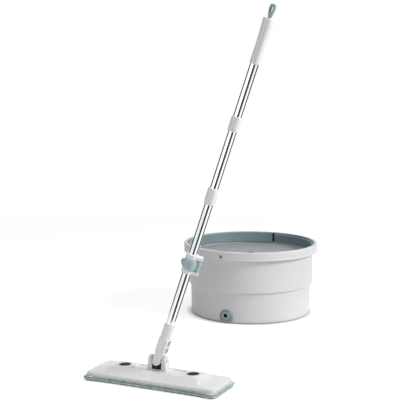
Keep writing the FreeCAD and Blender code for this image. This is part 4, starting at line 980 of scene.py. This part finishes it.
def make_drain_plug():
    """Plug with a hollow knob and a groove for its seal, and the dark cup in the knob: black rubber, and painted
    shade for the deep hollow.
    """
    low, high = box_mm("drain_plug")
    middle = (low[2] + high[2]) / 2
    head = (high[0] - low[0]) / 2
    length = high[1] - low[1]
    core, stem, groove = 6.3, 8.45, 7.0
    outline = rounded([
        (0, 9.0, 0), (core, 9.0, 0.4), (core, 0.6, 0.4), (core + 1.2, 0.0, 0.6), (head - 2.6, 0.0, 0.8),
        (head, 1.0, 0.8), (head, 3.2, 0.4), (stem, 3.2, 0.3), (stem, 11.0, 0.1), (groove, 11.0, 0.1),
        (groove, 13.2, 0.1), (stem, 13.2, 0.1), (stem, length, 0.8), (0, length, 0)])
    cup = rounded([
        (0, 8.9, 0), (core - 0.05, 8.9, 0.3), (core - 0.05, 1.4, 0.2), (core - 0.8, 1.0, 0.3),
        (core - 1.2, 1.6, 0.3), (core - 1.4, 7.0, 1.0), (0, 7.4, 0)])
    place = along_y(0, low[1], middle)
    finish_node(mesh_object("drain_knob", moved(turned(outline, 72), place)), "drain_plug", look="ring_teal")
    # black rubber cup, also painted shade deep in the knob's hollow
    finish_piece(mesh_object("drain_cup_rubber_and_shade", moved(turned(cup, 56), place)), "black_rubber", "plug")


# ---------------------------------------------------------------- mop head

PAD_LOW, PAD_HIGH = box_mm("mop_pad")
HEAD = Vector(((PAD_LOW[0] + PAD_HIGH[0]) / 2 * MM, (PAD_LOW[1] + PAD_HIGH[1]) / 2 * MM, 0))
ON_HEAD = Matrix.Translation(HEAD)
PLATE_CORNER = 14.0
PLATE_SKIRT = 8.0
PLATE_WALL = 2.6
PLATE_CELLS = (232, 78)
PLATE_EDGE_DROP = 1.3
PLATE_EDGE_RUN = 2.4
SLOPE_RISE = 4.0
SLOPE_END = 47.5
SLOPE_SIDE = 13.5
PLATFORM_RISE = 9.0
PLATFORM_RUN_END = 8.0
PLATFORM_RUN_SIDE = 18.0
GENTLE_CREASE, STEEP_CREASE, PLATFORM_CREASE = 0.35, 0.8, 0.45
RECESS_X = 47.0
RECESS_HALF = 20.0
RECESS_CORNER = 8.0
RECESS_DEPTH = 3.0
RECESS_WALL = (-1.8, 0.4)   # its slope starts and ends this far outside the recess's outline
VALLEY_DEPTH = 0.5
VALLEY_HALF = 8.0
VALLEY_IN = 26.0            # from the plate's long side in to the valley's middle
VALLEY_STRETCH = 0.6
VALLEY_RUN = 7.0
DISC_X = 93.5
DISC_HOLE = 15.3
BOSS_RADIUS = 24.5

PAD_CORNER = 18.0
PAD_CELL = 5.0
PAD_START = 2.2
PAD_PRESSURE = 4.0
PAD_STEPS = 20
PAD_MOVE_CAP = 5.0
PILE_ROOM = 0.5
GROOVE_DEPTH = 1.5
GROOVE_WIDTH = 0.9
PILE_SIZE = 0.0034
PILE_LIFT = 0.0016


def soft_least(values, softness):
    """The least of several heights, with the crease between them rounded."""
    values = np.array(values)
    least = values.min(axis=0)
    return least - softness * np.log(np.exp(-(values - least) / softness).sum(axis=0))


def corner_map(x, y, half_x, half_y, corner):
    """Pulls the corners of a rectangle's grid in to round ones."""
    inner_x, inner_y = half_x - corner, half_y - corner
    u = np.clip((np.abs(x) - inner_x) / corner, 0, 1)
    v = np.clip((np.abs(y) - inner_y) / corner, 0, 1)
    both = (u > 0) & (v > 0)
    round_u = np.where(both, u * np.sqrt(1 - v * v / 2), u)
    round_v = np.where(both, v * np.sqrt(1 - u * u / 2), v)
    new_x = np.where(u > 0, np.sign(x) * (inner_x + round_u * corner), x)
    new_y = np.where(v > 0, np.sign(y) * (inner_y + round_v * corner), y)
    return new_x, new_y


def round_box(x, y, half_x, half_y, corner):
    """Signed distance from a rounded rectangle, less than 0 inside."""
    dx, dy = np.abs(x) - half_x + corner, np.abs(y) - half_y + corner
    return np.hypot(np.maximum(dx, 0), np.maximum(dy, 0)) + np.minimum(np.maximum(dx, dy), 0) - corner


def plate_height(x, y, half_x, half_y, edge, rise):
    """Top of the head plate: a gentle slope, a steeper one and a flat platform, with soft creases."""
    end, side = half_x - np.abs(x), half_y - np.abs(y)
    gentle = soft_least([end * SLOPE_RISE / SLOPE_END, side * SLOPE_RISE / SLOPE_SIDE], GENTLE_CREASE)
    steep = soft_least([
        SLOPE_RISE + (end - SLOPE_END) * PLATFORM_RISE / PLATFORM_RUN_END,
        SLOPE_RISE + (side - SLOPE_SIDE) * PLATFORM_RISE / PLATFORM_RUN_SIDE], STEEP_CREASE)
    height = -soft_least([-gentle, -steep], PLATFORM_CREASE)
    top = np.full_like(height, rise)
    return edge + soft_least([height, top], PLATFORM_CREASE)


def make_head_plate():
    """Sculpted cover drawn as a grid of heights, closed by a stepped skirt and a flat underside."""
    low, high = box_mm("head_plate")
    half_x, half_y = (high[0] - low[0]) / 2, (high[1] - low[1]) / 2
    bottom = low[2]
    edge = bottom + PLATE_SKIRT
    platform = edge + SLOPE_RISE + PLATFORM_RISE
    count_x, count_y = PLATE_CELLS
    grid_x, grid_y = np.meshgrid(
        np.linspace(-half_x, half_x, count_x), np.linspace(-half_y, half_y, count_y), indexing="ij")
    x, y = corner_map(grid_x, grid_y, half_x, half_y, PLATE_CORNER)
    z = plate_height(x, y, half_x, half_y, edge, SLOPE_RISE + PLATFORM_RISE)
    rim = -round_box(x, y, half_x, half_y, PLATE_CORNER)
    z -= PLATE_EDGE_DROP * (1 - smooth_step(rim, 0.0, PLATE_EDGE_RUN)) ** 2
    for side in (-1, 1):
        recess = round_box(x - side * RECESS_X, y, RECESS_HALF, RECESS_HALF, RECESS_CORNER)
        z -= RECESS_DEPTH * (1 - smooth_step(recess, *RECESS_WALL))
        beside = np.maximum(np.abs(x - side * RECESS_X) - VALLEY_HALF, 0)
        valley = np.hypot(beside, VALLEY_STRETCH * (np.abs(y) - half_y + VALLEY_IN))
        z -= VALLEY_DEPTH * (1 - smooth_step(valley, 0.0, VALLEY_RUN))
    points = list(zip(x.ravel(), y.ravel(), z.ravel()))
    faces = []
    for i in range(count_x - 1):
        for j in range(count_y - 1):
            here = i * count_y + j
            faces.append((here, here + count_y, here + count_y + 1, here + 1))
    border = [i * count_y for i in range(count_x)]
    border += [(count_x - 1) * count_y + j for j in range(1, count_y)]
    border += [i * count_y + count_y - 1 for i in range(count_x - 2, -1, -1)]
    border += range(count_y - 2, 0, -1)
    ring = border
    skirt = ((0.0, 4.6), (0.0, 4.0), (0.35, 3.5), (0.35, 2.9), (0.0, 2.5), (0.0, 0.6), (0.5, 0), (2.2, 0),
             (PLATE_WALL, 0.4), (PLATE_WALL, PLATE_SKIRT - 3.4))
    for inset, rise in skirt:
        shrink_x, shrink_y = (half_x - inset) / half_x, (half_y - inset) / half_y
        first = len(points)
        points += [(points[c][0] * shrink_x, points[c][1] * shrink_y, bottom + rise) for c in border]
        lower = list(range(first, len(points)))
        for index, corner in enumerate(ring):
            after = (index + 1) % len(ring)
            faces.append((corner, lower[index], lower[after], ring[after]))
        ring = lower
    faces.append(tuple(ring))
    plate = mesh_object("plate_cover", (points, faces), ON_HEAD)
    boss = rounded([
        (0, platform - 5, 0), (BOSS_RADIUS, platform - 5, 0), (BOSS_RADIUS, platform - 0.2, 0.6),
        (BOSS_RADIUS - 1.6, platform + 0.75, 1.4), (DISC_HOLE + 3.6, platform + 0.95, 1.0),
        (DISC_HOLE + 2.2, platform + 1.75, 0.8), (DISC_HOLE + 0.6, platform + 1.75, 0.8),
        (DISC_HOLE, platform + 0.6, 0.4), (DISC_HOLE, platform - 1.8, 0.3), (0, platform - 1.8, 0)])
    pocket = pin(DISC_HOLE + 1.0, platform - 1.8, platform + 5, 0, 96)
    places = [ON_HEAD @ Matrix.Translation((side * DISC_X * MM, 0, 0)) for side in (-1, 1)]
    combine(plate, [mesh_object("pocket", pocket, place) for place in places], "DIFFERENCE")
    combine(plate, [mesh_object("boss", turned(boss, 96), place) for place in places], "UNION")
    finish_node(plate, "head_plate", sharp=42)


def make_cover_discs():
    low, high = box_mm("cover_discs")
    top, bottom = high[2], low[2]
    radius = (high[1] - low[1]) / 2
    outline = rounded([
        (0, bottom, 0), (radius, bottom, 0.3), (radius, top - 0.9, 0.3), (radius - 1.0, top - 0.15, 0.7),
        (radius * 0.66, top, 0.6), (radius * 0.60, top - 0.35, 0.4), (radius * 0.3, top - 0.2, 1.0),
        (0, top - 0.15, 0)])
    shapes = [moved(turned(outline, 96), Matrix.Translation((side * DISC_X, 0, 0))) for side in (-1, 1)]
    finish_node(mesh_object("cap_discs", together(*shapes), ON_HEAD), "cover_discs")


def pad_body(low, high):
    """Slightly small rounded slab, the shape that the pad swells from."""
    half_x = (high[0] - low[0]) / 2 - PAD_START
    half_y = (high[1] - low[1]) / 2 - PAD_START
    outline = rectangle(-half_x, half_x, -half_y, half_y, PAD_CORNER, PAD_CORNER, 8)
    height = high[2] - low[2]
    rings = []
    for inset, level in ((3.5, 0.0), (1.0, 0.1), (0.0, 0.3), (0.0, 0.7), (1.0, 0.9), (3.5, 1.0)):
        shrink_x, shrink_y = (half_x - inset) / half_x, (half_y - inset) / half_y
        rings.append([(x * shrink_x, y * shrink_y, height * level) for x, y in outline])
    return swept(rings, False)


def inflate(pad):
    """Cloth run that lets the cover swell under a little pressure, with each point's move capped."""
    start = np.array([vertex.co for vertex in pad.data.vertices])
    cloth = pad.modifiers.new("swell", "CLOTH")
    cloth.settings.use_pressure = True
    cloth.settings.uniform_pressure_force = PAD_PRESSURE
    cloth.settings.effector_weights.gravity = 0.0
    scene = bpy.context.scene
    for step in range(1, PAD_STEPS + 1):
        scene.frame_set(step)
    settle(pad)
    scene.frame_set(1)
    move = np.array([vertex.co for vertex in pad.data.vertices]) - start
    length = np.maximum(np.linalg.norm(move, axis=1, keepdims=True), 1e-9)
    move *= np.minimum(1.0, PAD_MOVE_CAP * MM / length)
    for vertex, place in zip(pad.data.vertices, start + move):
        vertex.co = place


def press_flat(pad, low, high):
    """Keeps the pad between the floor and the head plate, and inside the space that it holds."""
    for vertex in pad.data.vertices:
        for axis in range(3):
            vertex.co[axis] = min(high[axis] * MM, max(low[axis] * MM, vertex.co[axis]))


def fill_space(pad, low, high):
    """Stretches the swollen cover to the footprint that the pad holds."""
    points = np.array([vertex.co for vertex in pad.data.vertices])
    least, most = points.min(axis=0), points.max(axis=0)
    for axis in range(2):
        scale = (high[axis] - low[axis] - 2 * PILE_ROOM) * MM / (most[axis] - least[axis])
        middle = (low[axis] + high[axis]) / 2 * MM
        for vertex in pad.data.vertices:
            vertex.co[axis] = middle + (vertex.co[axis] - (least[axis] + most[axis]) / 2) * scale


def groove_edges(pad, low, high):
    """Two sewn lines round the pad's edge."""
    half = (np.array(high) - np.array(low))[:2] / 2
    for vertex in pad.data.vertices:
        x, y, z = (vertex.co - HEAD) / MM
        depth = -round_box(x, y, half[0], half[1], PAD_CORNER)
        pull = sum(math.exp(-((z - level) / GROOVE_WIDTH) ** 2) for level in PAD_GROOVES)
        pull *= GROOVE_DEPTH * math.exp(-max(0.0, depth) / 5.0)
        vertex.co.x -= math.copysign(pull * MM, x) if abs(x) > half[0] - PAD_CORNER else 0.0
        vertex.co.y -= math.copysign(pull * MM, y) if abs(y) > half[1] - PAD_CORNER else 0.0


def make_mop_pad():
    low, high = PAD_LOW, PAD_HIGH
    pad = mesh_object("pad_cover", pad_body(low, high), ON_HEAD)
    remesh = pad.modifiers.new("cells", "REMESH")
    remesh.mode = "VOXEL"
    remesh.voxel_size = PAD_CELL * MM
    settle(pad)
    inflate(pad)
    fill_space(pad, low, high)
    press_flat(pad, low, high)
    fine = pad.modifiers.new("fine", "SUBSURF")
    fine.levels = fine.render_levels = 2
    settle(pad)
    groove_edges(pad, low, high)
    pile = bpy.data.textures.new("pile", "CLOUDS")
    pile.noise_scale = PILE_SIZE
    pile.noise_depth = 1
    lift = pad.modifiers.new("pile", "DISPLACE")
    lift.texture = pile
    lift.texture_coords = "LOCAL"
    lift.strength = PILE_LIFT
    lift.mid_level = 0.6
    settle(pad)
    press_flat(pad, low, high)
    finish_node(pad, "mop_pad", sharp=80)


# ---------------------------------------------------------------- pole

GRIP_WAVES = 20
GRIP_WAVE_HEIGHT = 0.12

LEVER_TIP_ANGLE = -172.0
LEVER_ROOT_ANGLE = 4.0
LEVER_TIP_HALF = 1.8
LEVER_LIFT = 3.2
LEVER_CROWN = 3.3
LEVER_EDGE = 1.2
LEVER_BARREL = 5.0
LEVER_BORE = 2.05

POCKET_SPANS = ((23.5, 39.75), (42.25, 58.5))
POCKET_HALF = 8.5
POCKET_FLOOR = 9.55

# size of the dark saddle put under the knuckle as painted shade
SHADE_SADDLE_HALF = 11.3
SHADE_SADDLE_REACH = 12.5
SHADE_SADDLE_SWEEP = 17.1         # radius kept free round the tilt axis for the socket's fork
BRACKET_BASE_THICK = 3.5

HOOK_BASE_HALF = 3.6
HOOK_WIDE_HALF = 7.4
HOOK_TOP_HALF = 5.6
HOOK_TALL_HALF = 14.0
HOOK_SHOULDER = 11.0        # below the hook's top
HOOK_THICK_HALF = 4.15
HOOK_SLOT_HALF = 2.3
HOOK_CUT_HALF = 6.0         # half the length of the tool that cuts the slot
HOOK_SLOT = (19.0, 5.0)     # below the hook's top
HOOK_NECK = 3.0


def make_tubes():
    """Polished tubes with rolled ends."""
    for node in ("lower_tube", "upper_tube_1", "upper_tube_2", "upper_tube_3"):
        start, end, radius = along_pole(node)
        bore = bore_of(node)
        outline = rounded([(bore, start, 0.3), (radius, start, 0.4), (radius, end, 0.4), (bore, end, 0.3)])
        finish_node(mesh_object(node + "_skin", turned(outline, 128), POLE), node)


def make_connectors():
    """Moulded sleeves over the tube joints: soft ends, a rolled lip at each, and a faint waist."""
    for node in ("connector_1", "connector_2"):
        start, end, radius = along_pole(node)
        bore = bore_of(node)
        middle = (start + end) / 2
        edge = radius - 0.25
        barrel = smooth_line([(start + 4.5, edge), (middle, radius), (end - 4.5, edge)], 13)
        corners = [(bore, start, 0.3), (radius - 1.4, start, 0.6), (edge, start + 1.6, 0.6),
                   (edge, start + 3.2, 0.2), (radius - 0.6, start + 3.8, 0.2)]
        corners += [(r, height, 0) for r, height in barrel]
        corners += [(radius - 0.6, end - 3.8, 0.2), (edge, end - 3.2, 0.2), (edge, end - 1.6, 0.6),
                    (radius - 1.4, end, 0.6), (bore, end, 0.3)]
        finish_node(mesh_object(node + "_sleeve", turned(rounded(corners), 96), POLE), node)


def make_grip():
    """Hand grip: rounded lower end, slight waist, fine raised rings and a flared top."""
    start, end, radius = along_pole("grip")
    bore = bore_of("grip")
    length = end - start
    run = smooth_line([
        (start + 3, radius - 1.2), (start + 0.45 * length, radius - 1.6),
        (start + 0.78 * length, radius - 0.9), (end - 6, radius), (end - 2.5, radius)], 90)
    corners = [(bore, start, 0.3), (radius - 2.6, start, 0.8), (radius - 1.25, start + 1.6, 0.8)]
    for r, height in run:
        share = (height - start) / length
        band = float(smooth_step(share, 0.12, 0.2) * (1 - smooth_step(share, 0.6, 0.68)))
        wave = GRIP_WAVE_HEIGHT * band * (1 + math.cos(2 * math.pi * GRIP_WAVES * share))
        corners.append((r - wave, height, 0))
    corners += [(radius - 0.8, end - 0.6, 0.4), (radius - 2.6, end, 0.6), (bore, end, 0.3)]
    finish_node(mesh_object("hand_grip", turned(rounded(corners), 112), POLE), "grip", sharp=50)


def make_clamp_lever():
    """Leaf that wraps the collar: pointed and lifted at its tip, crowned across, with a barrel on its pin."""
    start, end, _ = along_pole("clamp_lever")
    inner = bore_of("clamp_lever") + 0.05
    middle, full = (start + end) / 2, (end - start) / 2
    rings = []
    for share in np.linspace(0, 1, 72):
        angle = math.radians(LEVER_TIP_ANGLE + (LEVER_ROOT_ANGLE - LEVER_TIP_ANGLE) * share)
        open_out = min(1.0, share / 0.6)
        half = LEVER_TIP_HALF + (full - LEVER_TIP_HALF) * (1 - (1 - open_out) ** 1.9) ** 0.62
        lift = LEVER_LIFT * float(1 - smooth_step(share, 0.0, 0.24))
        inside, side, face = inner + lift * 0.85, inner + lift + LEVER_EDGE * 0.6, inner + lift + LEVER_EDGE
        section = [(inside, -half + 0.5), (side, -half)]
        for across in np.linspace(-0.97, 0.97, 13):
            crown = (LEVER_CROWN - LEVER_EDGE * 0.3) * (1 - abs(across) ** 2.4) ** 0.75
            section.append((face + crown, half * across))
        section += [(side, half), (inside, half - 0.5)]
        rings.append(round_z([(r, middle + z) for r, z in section], angle))
    leaf = mesh_object("lever_leaf", swept(rings, False), POLE)
    hinge = pole_middle("lever_pin")
    on_pin = POLE @ Matrix.Translation((hinge[0] * MM, hinge[1] * MM, 0))
    combine(leaf, [mesh_object("barrel", pin(LEVER_BARREL, start, end, 0.9, 48), on_pin)], "UNION")
    combine(leaf, [mesh_object("bore", pin(LEVER_BORE, start - 2, end + 2, 0, 32), on_pin)], "DIFFERENCE")
    finish_node(leaf, "clamp_lever", sharp=50, look="pale_teal")


def make_pocket_pads_and_shade():
    """Grey pads in the two pockets on the socket's side, darker partly by their own grey and partly as painted
    shade for the recesses.
    """
    shapes = []
    for start, end in POCKET_SPANS:
        half = (end - start) / 2 - 0.3
        side = POCKET_HALF - 0.3
        outline = rectangle(-side, side, -half, half, 3.2, 3.2, 6)
        rings = []
        for shrink, lift in ((1.0, 0.0), (1.0, 0.7), (0.96, 1.1), (0.84, 1.35), (0.5, 1.55)):
            height = POCKET_FLOOR + lift
            rings.append([(height, y * shrink, (start + end) / 2 + z * shrink) for y, z in outline])
        shapes.append(swept(rings, False))
    pads_and_shade = mesh_object("pocket_pads_and_shade", together(*shapes), POLE)
    finish_piece(pads_and_shade, "black_rubber", "socket", look="pocket_grey_and_shade")


def make_knuckle_shade_saddle():
    """Dark rubber saddle on the bracket's floor, hollowed to the path of the socket's fork: painted shade for the
    hole under the knuckle.
    """
    floor = box_mm("pivot_bracket")[0][2] + BRACKET_BASE_THICK
    rings = []
    for y in np.linspace(-SHADE_SADDLE_REACH, SHADE_SADDLE_REACH, 21):
        top = PIVOT.z / MM - math.sqrt(SHADE_SADDLE_SWEEP ** 2 - y ** 2)
        section = rectangle(-SHADE_SADDLE_HALF, SHADE_SADDLE_HALF, floor, top, 0.3, 0.8)
        rings.append([(x, y, z) for x, z in section])
    shade_saddle = mesh_object("knuckle_shade_saddle", swept(rings, False), ON_HEAD)
    finish_piece(shade_saddle, "black_rubber", "mop_head")


def make_hook():
    """Hanging loop: narrow at its foot, wide at its shoulders, slotted for a peg."""
    start, end, _ = along_pole("hook")
    foot = along_pole("grip")[1] + 1.0
    centre = end - HOOK_SHOULDER
    side = [(HOOK_BASE_HALF, foot, 1.0), (HOOK_WIDE_HALF, centre, 6.0), (HOOK_TOP_HALF, end, 3.2)]
    outer = rounded([(-HOOK_BASE_HALF, foot, 1.0)] + side + [(-x, z, r) for x, z, r in side[:0:-1]], 8)
    rings = []
    bevels = ((1.3, 1.0), (0.45, 0.93), (0.1, 0.8), (0.0, 0.6))
    for inset, level in [(inset, -level) for inset, level in bevels] + list(bevels[::-1]):
        wide, tall = 1 - inset / HOOK_WIDE_HALF, 1 - inset / HOOK_TALL_HALF
        rings.append([(x * wide, HOOK_THICK_HALF * level, centre + (z - centre) * tall) for x, z in outer])
    loop = mesh_object("hang_loop", swept(rings, False), POLE)
    slot = rectangle(-HOOK_SLOT_HALF, HOOK_SLOT_HALF, end - HOOK_SLOT[0], end - HOOK_SLOT[1], 2.2, 2.2, 6)
    cut = [[(x, y, z) for x, z in slot] for y in (-HOOK_CUT_HALF, HOOK_CUT_HALF)]
    combine(loop, [mesh_object("slot", swept(cut, False), POLE)], "DIFFERENCE")
    combine(loop, [mesh_object("neck", pin(HOOK_NECK, start, foot + 2.5, 0.5, 32), POLE)], "UNION")
    finish_node(loop, "hook", sharp=45, look="ring_teal")


def make_mouldings():
    """Secondary parts: their own CAD shapes with rounded edges."""
    softened("pivot_bracket", 0.9, "plate_plastic")
    softened("socket", 0.9, None)
    softened("knuckle", 0.6, None)
    softened("clamp_collar", 0.6, None)


# ---------------------------------------------------------------- the whole


def dress_nodes():
    """Every CAD node gets its slot's material."""
    for name, node in NODES.items():
        node.data.materials.clear()
        node.data.materials.append(MATERIALS[SLOT_OF[name]])


def main():
    make_studio()
    dress_nodes()
    for make in (make_bucket_shell, make_rim_liner, make_bail_handle, make_bail_gap_shade, make_bail_pins,
                 make_spin_tray, make_hub_cap, make_drain_collar, make_drain_plug, make_head_plate,
                 make_cover_discs, make_mop_pad, make_tubes, make_connectors, make_grip, make_clamp_lever,
                 make_pocket_pads_and_shade, make_knuckle_shade_saddle, make_hook, make_mouldings):
        make()
    bpy.context.scene.view_settings.view_transform = "Standard"


main()
